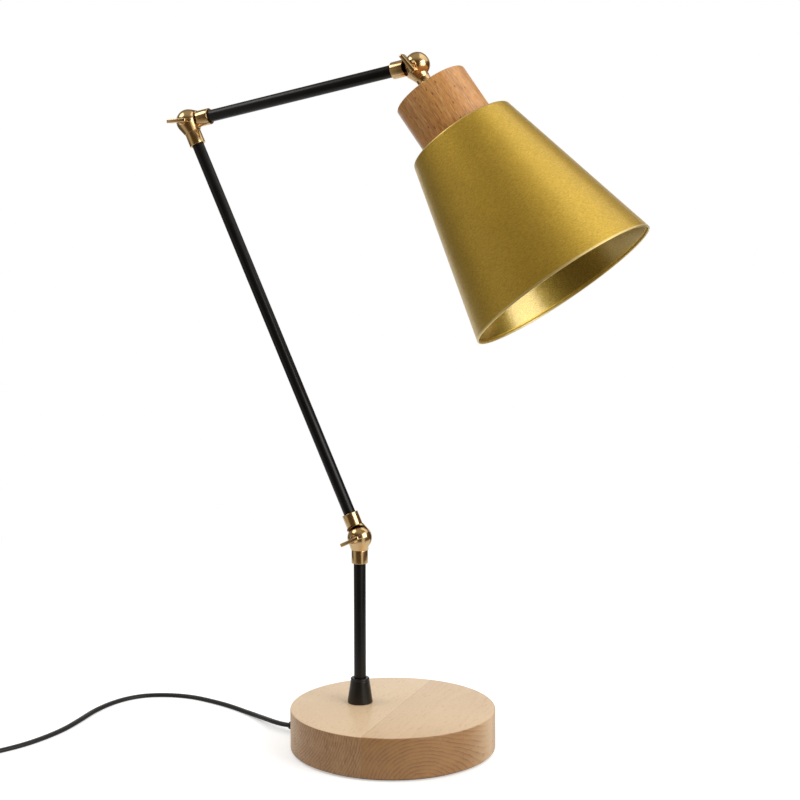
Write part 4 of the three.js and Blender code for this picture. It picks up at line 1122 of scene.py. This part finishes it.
down_stem = along(lower_pivot, -up)
down_lower = along(middle_pivot, -lower_way)
back_upper = along(upper_pivot, -upper_way)
head_start = along(upper_pivot, head_way)
place_half("fine_lower_front", -1, 0, down_stem, "base", "lower_joint_front_half")
place_half("fine_lower_back", 1, 0, lower_place, "lower_arm", "lower_joint_back_half")
place_half("fine_middle_front", -1, 0, down_lower, "lower_arm", "middle_joint_front_half")
place_half("fine_middle_back", 1, 0, upper_place, "upper_arm", "middle_joint_back_half")
place_half("fine_upper_front", -1, neck_shift, head_start, "head", "upper_joint_front_half")
place_half("fine_upper_back", 1, 0, back_upper, "upper_arm", "upper_joint_back_half")

# %% [markdown]
# The head's neck stands off-centre, so its collar comes close to the arm's at the end of the
# swing. Each collar is therefore cut by the other one's form as it lies at the joint's limit,
# on the other's side only. The form is made a little larger first, so that a gap stays.

# %% Room at the end of the head's swing
clearance = 0.12
clearance_scale = 1.02
cut_reach = 30
upper_joint = next(joint for joint in frame["joints"] if joint["name"] == "upper_joint")
swing_end = upper_joint["range_deg"][1]
to_limit = Matrix.Rotation(math.radians(swing_end), 4, "Y")


def make_room(name, side, own_place, other_place, other_shift, turn):
    """Cuts away what the other half's collar would meet once it has turned."""
    foot = cone_start[1] - clearance
    form = turned("cutter", eased([
        (0, foot), (cone_start[0], foot), *collar_outline(other_shift)[1:], (0, collar_reach),
    ], 4))
    wider = Matrix.Diagonal((clearance_scale, clearance_scale, 1, 1))
    moved(form, by(other_shift) @ wider)
    own_turn = own_place.to_3x3().inverted() @ turn.to_3x3() @ other_place.to_3x3()
    moved(form, own_turn.to_4x4())
    low, high = sorted((side * mating_gap, -side * cut_reach))
    combine(form, box((-cut_reach, low, -cut_reach), (cut_reach, high, cut_reach)), "INTERSECT")
    half = bpy.data.objects[name]
    form.matrix_world = half.matrix_world
    combine(half, form)
    smooth(half, joint_sharp)
    print(f"{name}: {len(half.data.polygons)} faces")


make_room("fine_upper_back", 1, back_upper, head_start, neck_shift, to_limit)
make_room("fine_upper_front", -1, head_start, back_upper, 0, to_limit.inverted())

# %% [markdown]
# ## Wing screws
#
# A wing screw clamps each joint. Its boss presses on the front half and its flat blade is
# turned by hand, so the three were left at three different angles. The blade is a plain stamped
# plate, so its corners are only a little round and its edges are just broken. A lathe form
# can't have a flat blade, so the blade is an outline raised to its thickness and joined on.

# %% Wing screws
wing_tilts = {"lower": 26.5, "middle": 3.5, "upper": -47}
boss_low = 10.45
boss_height = 4
wing_height = 8.4
wing_half_width = 9
wing_half_thickness = 1.5
blade_corner = 1.3
notch_half_width = 2.8
shank_end = 0.25 - screw_depth


def wing_screw(name):
    tip = boss_low + boss_height + 1
    stem = turned(name, eased([
        (0, shank_end), (1.4, shank_end), (2, shank_end + 0.6), (2, boss_low),
        (3.5, boss_low, 0.3), (3.3, boss_low + 1.4, 0.5), (2.4, tip), (0, tip),
    ], 4), 48)
    moved(stem, to_minus_y)
    high = -(boss_low + boss_height / 2)
    low = high - wing_height
    w = wing_half_width
    blade = raised("blade", eased([
        (-w, low, blade_corner), (w, low, blade_corner), (w, high, blade_corner),
        (notch_half_width, high, 0.6), (-notch_half_width, high, 0.6), (-w, high, blade_corner),
    ], 5), -wing_half_thickness, wing_half_thickness)
    break_edges(blade, 0.7, 4)
    return combine(stem, blade, "UNION")


for joint, tilt in wing_tilts.items():
    screw = wing_screw(f"fine_{joint}_wing_screw")
    turn = Matrix.Rotation(math.radians(-tilt), 4, "Y")
    dress(screw, brass, f"{joint}_wing_screw", f"{joint}_joint_wing_screw",
          place=Matrix.Translation(pivots[f"{joint}_joint"]) @ turn, sharp_from=32)
    print(f"{joint} wing screw at {tilt} degrees")

# %% [markdown]
# ## Head
#
# The head is stacked on one axis: a thin brass washer, the wooden cap, the lampholder inside
# it, the shade, the ring that clamps the shade, and the bulb. Each is turned from its outline.
# Distances run down the axis from the upper joint.

# %% Neck washer and wooden cap
cap_start = 22.8
cap_end = 66.4
cap_radius = 31.4
cap_floor = cap_start + 8
pocket_radius = 24


def head_piece(made, finish, replaced, sharp_from=35):
    """Dresses a piece of the head and puts it on the head's axis."""
    return dress(made, finish, "head", replaced, place=head_place, sharp_from=sharp_from)


head_piece(turned("fine_neck_washer", eased([
    (tube_hole, 21.75), (8.5, 21.75, 0.25), (8.5, 22.55, 0.25), (tube_hole, 22.55),
], 3), 64), brass, "neck_washer")
head_piece(turned("fine_wooden_cap", eased([
    (tube_hole, cap_start), (cap_radius, cap_start, 0.8), (cap_radius, cap_end, 0.5),
    (pocket_radius, cap_end, 0.4), (pocket_radius, cap_floor, 1), (tube_hole, cap_floor),
], 6), 144), red_beech, "wooden_cap")
print(f"cap: {2 * cap_radius} mm across, {cap_end - cap_start:.1f} mm long")

# %% [markdown]
# The shade is spun from thin sheet: a flat top with a hole for the lampholder, a rounded
# shoulder, a straight cone, and a small turned-in rim that stiffens the mouth. A Solidify
# modifier could give a single skin its thickness. Here the outline goes round the whole wall,
# so that the rim and the rounding inside the shoulder can be drawn as they are.

# %% Shade
shade_start = 66.65
shade_end = 211.05
top_radius = 44.8
mouth_radius = 79.3
sheet = 0.9
shoulder = 2.2
rim_depth = 2
rim_thickness = 1.4
slope = math.atan2(mouth_radius - top_radius, shade_end - shade_start)
hole_radius = 20.05


def shade_outline():
    """Out over the top, down the cone, round the rim and back along the inside."""
    shelf = shade_end - rim_depth
    inside = mouth_radius - sheet - math.tan(slope) * rim_depth
    rim = eased([
        (mouth_radius - 0.3, shade_end - 1.6), (mouth_radius, shade_end, 0.5),
        (mouth_radius - rim_thickness, shade_end, 0.5), (mouth_radius - rim_thickness, shelf, 0.4),
        (inside, shelf),
    ], 4)
    outer, inner = (
        [(top_radius - shoulder + x, shade_start + shoulder + y) for x, y in curve]
        for curve in (arc(shoulder, -quarter, -slope, 8),
                      arc(shoulder - sheet, -slope, -quarter, 8)))
    return [(hole_radius, shade_start), *outer, *rim, *inner, (hole_radius, shade_start + sheet)]


head_piece(turned("fine_shade", shade_outline(), 192), gold_coat, "shade")
print(f"shade: {2 * top_radius} to {2 * mouth_radius} mm across, {math.degrees(slope):.1f} degrees")

# %% [markdown]
# The lampholder is moulded in black. The ring that clamps the shade is screwed on by hand from
# inside, so it has ribs for the fingers. Ribs and threads are made by moving the turned points
# in towards the axis along a wave, which is easier than cutting them one by one.

# %% Ribs and threads
def carve(made, beyond, low, high, depth_at):
    """Moves the points beyond a radius and between two heights in towards the axis."""
    for vertex in made.data.vertices:
        x, y, z = vertex.co / MM
        radius = math.hypot(x, y)
        if radius > beyond and low < z < high:
            vertex.co.xy *= (radius - depth_at(z, math.atan2(y, x))) / radius


def wave(angle):
    return 0.5 - 0.5 * math.cos(angle)


def grip(made, beyond, low, high, count, depth):
    """Ribs along the axis."""
    carve(made, beyond, low, high, lambda z, angle: depth * wave(count * angle))


def thread(made, beyond, low, high, pitch, depth, run_out=1.5):
    """A rounded screw thread, which fades out at both ends."""
    def depth_at(z, angle):
        fade = min(1, (z - low) / run_out, (high - z) / run_out)
        return depth * wave(math.tau * z / pitch - angle) * fade

    carve(made, beyond, low, high, depth_at)


# %% Lampholder and shade ring
rib_count = 40
rib_depth = 0.5

head_piece(turned("fine_holder_cap", eased([
    (5.25, 31.05), (21.5, 31.05, 5.8), (21.5, 51.05, 0.4), (19.1, 51.05), (19.1, 33.45, 3.4),
    (5.25, 33.45),
], 6)), black_plastic, "lampholder_cap")
head_piece(turned("fine_holder_shell", eased([
    (15.4, 51.3), (22.3, 51.3, 0.4), (22.3, 66.4, 0.3), (19.8, 66.4), (19.8, 82.4, 0.6),
    (15.4, 82.4, 0.6),
], 4)), black_plastic, "lampholder_shell")
fine_shade_ring = turned("fine_shade_ring", eased([
    (hole_radius, 67.8), (27.5, 67.8, 0.4), (27.5, 69.8, 0.4), (24.35, 69.8), (24.35, 75.8, 0.5),
    (hole_radius, 75.8, 0.3),
], 4), 240)
grip(fine_shade_ring, 24, 70, 76, rib_count, rib_depth)
head_piece(fine_shade_ring, black_plastic, "shade_ring")
print(f"lampholder cap, shell and a ring with {rib_count} ribs")

# %% [markdown]
# The bulb is a common pear shape with a screw cap. A sphere on a cylinder would meet in a kink,
# so the neck swells into the belly along one smooth curve. The glass is opal, so nothing of its
# inside shows. The lamp is off, and the bulb gives no light of its own.

# %% Bulb glass
glass_start = 89.9
glass_end = 173.9
glass_radius = 30
glass_wall = 1.2
neck_radius = 12.5
belly = glass_end - glass_radius
neck_join = math.radians(-33)
pull = 12


def bezier(start, pull_a, pull_b, end, steps):
    """A curve that leaves one point and reaches another in the directions of two pulls."""
    points = [Vector(point) for point in (start, pull_a, pull_b, end)]
    curve = []
    for i in range(steps + 1):
        t = i / steps
        a, b, c = (points[k].lerp(points[k + 1], t) for k in range(3))
        curve.append(tuple(a.lerp(b, t).lerp(b.lerp(c, t), t)))
    return curve


def pear(inset):
    """Half the outline of the pear: a neck that swells into the round belly."""
    neck = neck_radius - inset
    radius = glass_radius - inset
    start = Vector((neck, glass_start + 7))
    end = Vector((radius * math.cos(neck_join), belly + radius * math.sin(neck_join)))
    end_way = Vector((-math.sin(neck_join), math.cos(neck_join)))
    swell = bezier(start, start + Vector((0, pull)), end - end_way * pull, end, 14)
    dome = arc(radius, neck_join, quarter, 22)[1:]
    return [(neck, glass_start), (neck, glass_start + 4), *swell,
            *[(max(x, 0), belly + y) for x, y in dome]]


def turned_shell(name, outside, inside, steps):
    """A hollow form, open at its neck: both outlines meet the axis at the far end."""
    start = outside[0][1]
    outer = turned(name, outside + [(0, start)], steps)
    inner = turned("inside", [(0, start - 1), (inside[-1][0], start - 1), *inside[::-1]], steps)
    return combine(outer, inner)


bulb_outline = pear(0)[:-1] + [(0, glass_end)]
inner_outline = [(0, glass_end - glass_wall)] + pear(glass_wall)[-2::-1]
head_piece(turned_shell("fine_bulb_glass", bulb_outline, inner_outline, 96),
           opal_glass, "bulb_glass")
print(f"bulb glass: {2 * glass_radius} mm across")

# %% Bulb's screw cap
cap_low = 65.65
cap_high = 89.65
screw_cap_radius = 13.2
thread_pitch = 3.6
thread_depth = 0.9
screw_wall = [(screw_cap_radius, cap_low + 4 + i * 0.45) for i in range(43)]
fine_bulb_cap = turned("fine_bulb_cap", [
    (0, cap_low), (5, cap_low), (12.2, cap_low + 3.2), *screw_wall,
    (screw_cap_radius, cap_high - 0.3), (screw_cap_radius - 0.3, cap_high), (0, cap_high),
], 72)
thread(fine_bulb_cap, 12.8, cap_low + 3.8, cap_high - 1.2, thread_pitch, thread_depth)
head_piece(fine_bulb_cap, steel, "bulb_cap", sharp_from=50)
print(f"bulb cap: thread pitch {thread_pitch} mm")

# %% [markdown]
# ## Switch, plug and tie
#
# These lie beside the lamp on the cord. The switch is two moulded halves held by two screws
# from below, with a rocker in its top. The plug is moulded on, with two round pins, and the tie
# is a clip that holds the turns of the coil together. Each of them is one outline that is raised
# to a height: the switch and the plug as seen from above, the rocker and the tie as seen from
# the side. A bevel then rounds the edges, as the mould's corners do on the real pieces.

# %% Switch body
switch_half_width = 13
switch_half_nose = 5.5
switch_taper = 13
base_height = 9.25
cover_bottom = 9.5
cover_top = 19
screw_place = 18


def on_table(point, heading):
    """A place on the table whose X runs along a heading."""
    turn = Matrix.Rotation(math.atan2(heading.y, heading.x), 4, "Z")
    return Matrix.Translation((point.x * MM, point.y * MM, 0)) @ turn


def nose_outline(half_length, half_width, half_nose, taper):
    """A body that narrows to a nose at each end, over the length of its taper."""
    inner = half_length - taper
    bend = half_length - taper / 2
    right = bezier((inner, -half_width), (bend, -half_width), (bend, -half_nose),
                   (half_length, -half_nose), 10)
    left = [(-x, y) for x, y in right[::-1]]
    lower = left + right
    return lower + [(x, -y) for x, y in lower[::-1]]


switch_place = on_table(switch_centre, switch_heading)
switch_shape = nose_outline(switch_length / 2, switch_half_width, switch_half_nose, switch_taper)
fine_switch_base = raised("fine_switch_base", switch_shape, 0, base_height)
break_edges(fine_switch_base, 1.3, 4, 60)
for side in (-1, 1):
    combine(fine_switch_base, moved(rod(2.75, -1, 2.8, 32), by(side * screw_place)))
fine_switch_cover = raised("fine_switch_cover", switch_shape, cover_bottom, cover_top)
break_edges(fine_switch_cover, 1.5, 5, 60)
combine(fine_switch_cover, box((-10.7, -6.2, 13.5), (10.7, 6.2, cover_top + 1)))
for made, replaced in ((fine_switch_base, "switch_base"), (fine_switch_cover, "switch_cover")):
    dress(made, black_plastic, "base", replaced, place=switch_place, sharp_from=30)
print(f"switch: base and cover, {switch_length} mm long")

# %% Rocker
rocker_half = 10
rocker_half_width = 5.5
rocker_axle = 16.7
rocker_outline = eased([
    (-rocker_half, -2.3), (rocker_half, -2.3), (rocker_half, 3.8, 0.5), (5, 3.05, 6), (0, 2.3, 2),
    (-5, 3.05, 6), (-rocker_half, 3.8, 0.5),
], 4)
fine_rocker = raised("fine_rocker", rocker_outline, -rocker_half_width, rocker_half_width)
break_edges(moved(fine_rocker, to_minus_y), 0.35, 2, 50)
rocker_tilt = Matrix.Rotation(math.radians(3.5), 4, "Y")
dress(fine_rocker, black_plastic, "switch_rocker", "switch_rocker",
      place=switch_place @ by(z=rocker_axle * MM) @ rocker_tilt, sharp_from=30)
print(f"rocker: {2 * rocker_half} mm long")

# %% Plug body
plug_height = 13.5
plug_half_width = 13.5
plug_back = 12
plug_front = 34
plug_corner = 4
pin_spread = 9.3
plug_place = on_table(tail_start + way_out * (tail_length + wire_fit), way_out)
shoulder_curve = bezier((0, -5.7), (6, -5.7), (6, -plug_half_width),
                        (plug_back, -plug_half_width), 10)
plug_front_edge = eased([
    (plug_back, -plug_half_width), (plug_front, -plug_half_width, plug_corner),
    (plug_front, plug_half_width, plug_corner), (plug_back, plug_half_width),
], 6)[1:-1]
plug_shape = shoulder_curve + plug_front_edge + [(x, -y) for x, y in shoulder_curve[::-1]]
fine_plug_body = raised("fine_plug_body", plug_shape, 0, plug_height)
break_edges(fine_plug_body, 1.6, 4, 60)
# Four grooves for the fingers, on the top and underneath
for i in range(4):
    for low, high in ((-0.5, 0.5), (plug_height - 0.5, plug_height + 0.5)):
        groove = 13 + 3 * i
        combine(fine_plug_body, box((groove, -9, low), (groove + 1.2, 9, high)))
pin_places = [by(0, side * pin_spread, plug_height / 2) @ to_x for side in (-1, 1)]
for pin_place in pin_places:
    combine(fine_plug_body, moved(rod(2.15, 31, 36, 32), pin_place))
dress(fine_plug_body, black_plastic, "base", "plug_body", place=plug_place, sharp_from=30)
print(f"plug body: {plug_front} mm long")

# %% Plug pins
for number, pin_place in enumerate(pin_places, 1):
    pin = turned(f"fine_plug_pin_{number}", eased([
        (0, 31.25), (1.85, 31.25), (1.85, 43), (2, 43.2, 0.1), (2, 53, 1.3), (0, 53, 0),
    ], 4), 32)
    dress(moved(pin, pin_place), brass, "base", f"plug_pin_{number}", place=plug_place)
print(f"plug with {len(pin_places)} pins, {2 * pin_spread} mm apart")

# %% Tie round the coil
tie_play = 0.7
tie_wall = 1.1
tie_half_width = 4.5
tie_outer = coil_outer + cord_width / 2 + tie_play
tie_inner = coil_inner - cord_width / 2 - tie_play
tie_under = cord_height + coil_rise + tie_play
tie_outline = eased([
    (tie_inner - tie_wall, 0), (tie_inner, 0), (tie_inner, tie_under, 1.2),
    (tie_outer, tie_under, 1.2), (tie_outer, 0), (tie_outer + tie_wall, 0),
    (tie_outer + tie_wall, tie_under + tie_wall, 2.2),
    (tie_inner - tie_wall, tie_under + tie_wall, 2.2),
], 5)
fine_cord_tie = raised("fine_cord_tie", tie_outline, -tie_half_width, tie_half_width)
break_edges(moved(fine_cord_tie, to_minus_y), 0.3, 2, 50)
dress(fine_cord_tie, black_plastic, "base", "cord_tie",
      place=Matrix.Translation(coil_centre * MM), sharp_from=30)
print(f"tie: {tie_outer - tie_inner:.1f} mm over the coil's turns")

dress(fine_cord_lead, cord_skin, "base", "cord_lead")
dress(fine_cord_wound, cord_skin, "base", "cord_middle", "cord_coil", "cord_tail")

# %% [markdown]
# ## Pieces that keep their CAD shape
#
# Screws, washers, leads and other inner pieces are right as they are. They only get a finish.

# %% Dress the inner pieces
kept = {
    steel: ["base_weight", "weight_screw_1", "weight_screw_2", "weight_screw_3", "stem_washer",
            "stem_nut", "cord_clamp", "clamp_screw_1", "clamp_screw_2", "neck_nipple", "bulb_tip",
            "switch_screw_1", "switch_screw_2"],
    cord_skin: ["inner_flex", "stem_lead", "lower_arm_lead", "upper_arm_lead", "head_lead"],
    ceramic: ["terminal_block", "lampholder_insert"],
    brass: ["contact_tongue", "screw_shell"],
    fibre: ["lower_joint_washer", "middle_joint_washer", "upper_joint_washer"],
}
for finish, names in kept.items():
    for name in names:
        frame["nodes"][name].data.materials.clear()
        frame["nodes"][name].data.materials.append(finish)
print(f"{sum(len(names) for names in kept.values())} inner pieces dressed")

# %% [markdown]
# ## Studio
#
# A product picture of this kind is lit by large soft lamps: a strong one at the right, one at
# the left and a wide weak one high up at the back. The backdrop is white and the floor is pale
# and keeps the shadow. The world is white to the camera. What metal reflects of it fades from
# the white backdrop behind the lamp to the dim warm room in front of it, as in a real studio.
# The world and the floor aren't picked as lamps, because a ray that is aimed at a lamp isn't
# counted as a glossy one, and metal would then catch the plain fill light as well.

# %% Soft lamps
def soft_lamp(name, place, size, power, target=(0, 0, 0.35)):
    light = bpy.data.lights.new(name, "AREA")
    light.shape = "RECTANGLE"
    light.size, light.size_y = size
    light.energy = power
    made = bpy.data.objects.new(name, light)
    made.location = place
    made.rotation_euler = (Vector(target) - Vector(place)).to_track_quat("-Z", "Y").to_euler()
    bpy.context.scene.collection.objects.link(made)
    print(f"{name}: {power} W")


soft_lamp("right_lamp", (1.5, -0.35, 0.92), (1.15, 1.05), 15)
soft_lamp("left_lamp", (-1.1, -0.45, 1.45), (0.85, 0.65), 5.5)
soft_lamp("top_lamp", (1.0, 0.6, 1.87), (2.0, 1.8), 10)

# %% World
view_way = (-0.4025, 0.9073, -0.1216)
side_way = (-0.75, 0.65, -0.1)
right_card_way = (0.857, -0.515, -0.05)
left_card_way = (-0.78, -0.62, -0.05)
backdrop_white = grey(1)
room_tone = colour(0.088, 0.056, 0.027)
side_tone = colour(0.23, 0.22, 0.20)
low_side_tone = colour(0.10, 0.09, 0.075)
card_tone = colour(0.75, 0.70, 0.60)
ceiling_tone = colour(0.40, 0.36, 0.29)
low_fill = colour(0.24, 0.235, 0.23)
high_fill = colour(0.64, 0.63, 0.62)
side_fill = grey(0.95)


def toward(tree, way, direction, low, high):
    """From 0 to 1 as a direction comes near another one."""
    return spread(tree, measure(tree, "DOT_PRODUCT", way, direction), low, high)


def room_look(tree, way, side_tone):
    """What a glossy ray finds: dim in front, pale at the left, white behind, two low cards."""
    room = mixed(tree, spread(tree, parts(tree, way)[2], 0.5, 0.95), room_tone, ceiling_tone)
    room = mixed(tree, toward(tree, way, side_way, 0.1, 0.9), room, side_tone)
    room = mixed(tree, toward(tree, way, right_card_way, 0.95, 0.99), room, card_tone)
    room = mixed(tree, toward(tree, way, left_card_way, 0.85, 1.1), room, card_tone)
    return mixed(tree, toward(tree, way, view_way, 0.78, 0.95), room, backdrop_white)


def ray_kinds(tree):
    """1 for a ray from the camera, and 1 for one from a mirroring or clear surface."""
    path = node(tree, "LightPath").outputs
    shine = math_node(tree, "MAXIMUM", path["Is Glossy Ray"], path["Is Transmission Ray"])
    return path["Is Camera Ray"], shine


def make_world():
    world = bpy.data.worlds.new("studio")
    world.use_nodes = True
    tree = world.node_tree
    tree.nodes.clear()
    way = node(tree, "TexCoord").outputs["Generated"]
    fill = mixed(tree, spread(tree, parts(tree, way)[2], 0.05, 0.85), low_fill, high_fill)
    fill = mixed(tree, toward(tree, way, side_way, 0.3, 0.9), fill, side_fill)
    from_camera, shine = ray_kinds(tree)
    seen = mixed(tree, shine, backdrop_white, room_look(tree, way, side_tone))
    light = mixed(tree, math_node(tree, "MAXIMUM", from_camera, shine), fill, seen)
    background = node(tree, "Background", {"Color": light, "Strength": 1})
    node(tree, "OutputWorld", {0: background.outputs[0]})
    world.cycles.sampling_method = "NONE"
    bpy.context.scene.world = world
    print(f"world: {len(tree.nodes)} nodes")


make_world()

# %% Floor finish
white_from = 0.35
white_to = 1.0
table_middle = (-0.15, 0.33, 0)
dim_from = 0.4
dim_to = 0.74
glow = 0.42


def matt(tree, tone):
    return node(tree, "BsdfDiffuse", {"Color": tone}).outputs[0]


def glowing(tree, tone, strength=1):
    return node(tree, "Emission", {"Color": tone, "Strength": strength}).outputs[0]


def either(tree, share, first, second):
    """One shader where the share is 0, the other where it is 1."""
    return node(tree, "MixShader", {0: share, 1: first, 2: second}).outputs[0]


def make_floor_finish():
    """Lit near the lamp so that it keeps the shadow, and plain white farther off."""
    finish, tree = material("floor")
    own = node(tree, "TexCoord").outputs["Object"]
    from_camera, shine = ray_kinds(tree)
    lit = matt(tree, mixed(tree, noise(tree, own, 0.4, 2), colour(0.78, 0.78, 0.775), grey(0.80)))
    lifted = node(tree, "AddShader", {0: lit, 1: glowing(tree, grey(1), glow)}).outputs[0]
    away = spread(tree, measure(tree, "LENGTH", own), white_from, white_to)
    seen = either(tree, away, lifted, glowing(tree, grey(1)))
    # In a reflection the table ends soon, and past it lies the room
    reach = measure(tree, "DISTANCE", own, table_middle)
    past_table = spread(tree, reach, dim_from, dim_to)
    way = node(tree, "VectorMath", {0: own}, operation="NORMALIZE").outputs[0]
    far_room = glowing(tree, room_look(tree, way, low_side_tone))
    mirrored = either(tree, past_table, lit, far_room)
    bounce = matt(tree, mixed(tree, past_table, colour(0.62, 0.62, 0.61), grey(0.2)))
    indirect = either(tree, shine, bounce, mirrored)
    node(tree, "OutputMaterial", {0: either(tree, from_camera, indirect, seen)})
    finish.cycles.emission_sampling = "NONE"
    return finish


# %% Floor
floor_size = 6000
half = floor_size / 2
floor = mesh_piece("floor", [
    (-half, -half, 0), (half, -half, 0), (half, half, 0), (-half, half, 0),
], [(0, 1, 2, 3)])
floor.data.materials.append(make_floor_finish())
floor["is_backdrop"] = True
print(f"floor: {floor_size * MM:.0f} m square")

# %% [markdown]
# ## Sizes of both boxes
#
# The box of the solids and the box of the finer pieces are both printed. The finer pieces
# may not make the lamp larger than its solids.

# %% Print the sizes of both boxes
looks_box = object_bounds()
sizes = {"solids": [list(corner) for corner in solid_box],
         "looks": [list(corner) for corner in looks_box]}
for name, corners in sizes.items():
    print(name, [round(value, 4) for corner in corners for value in corner])
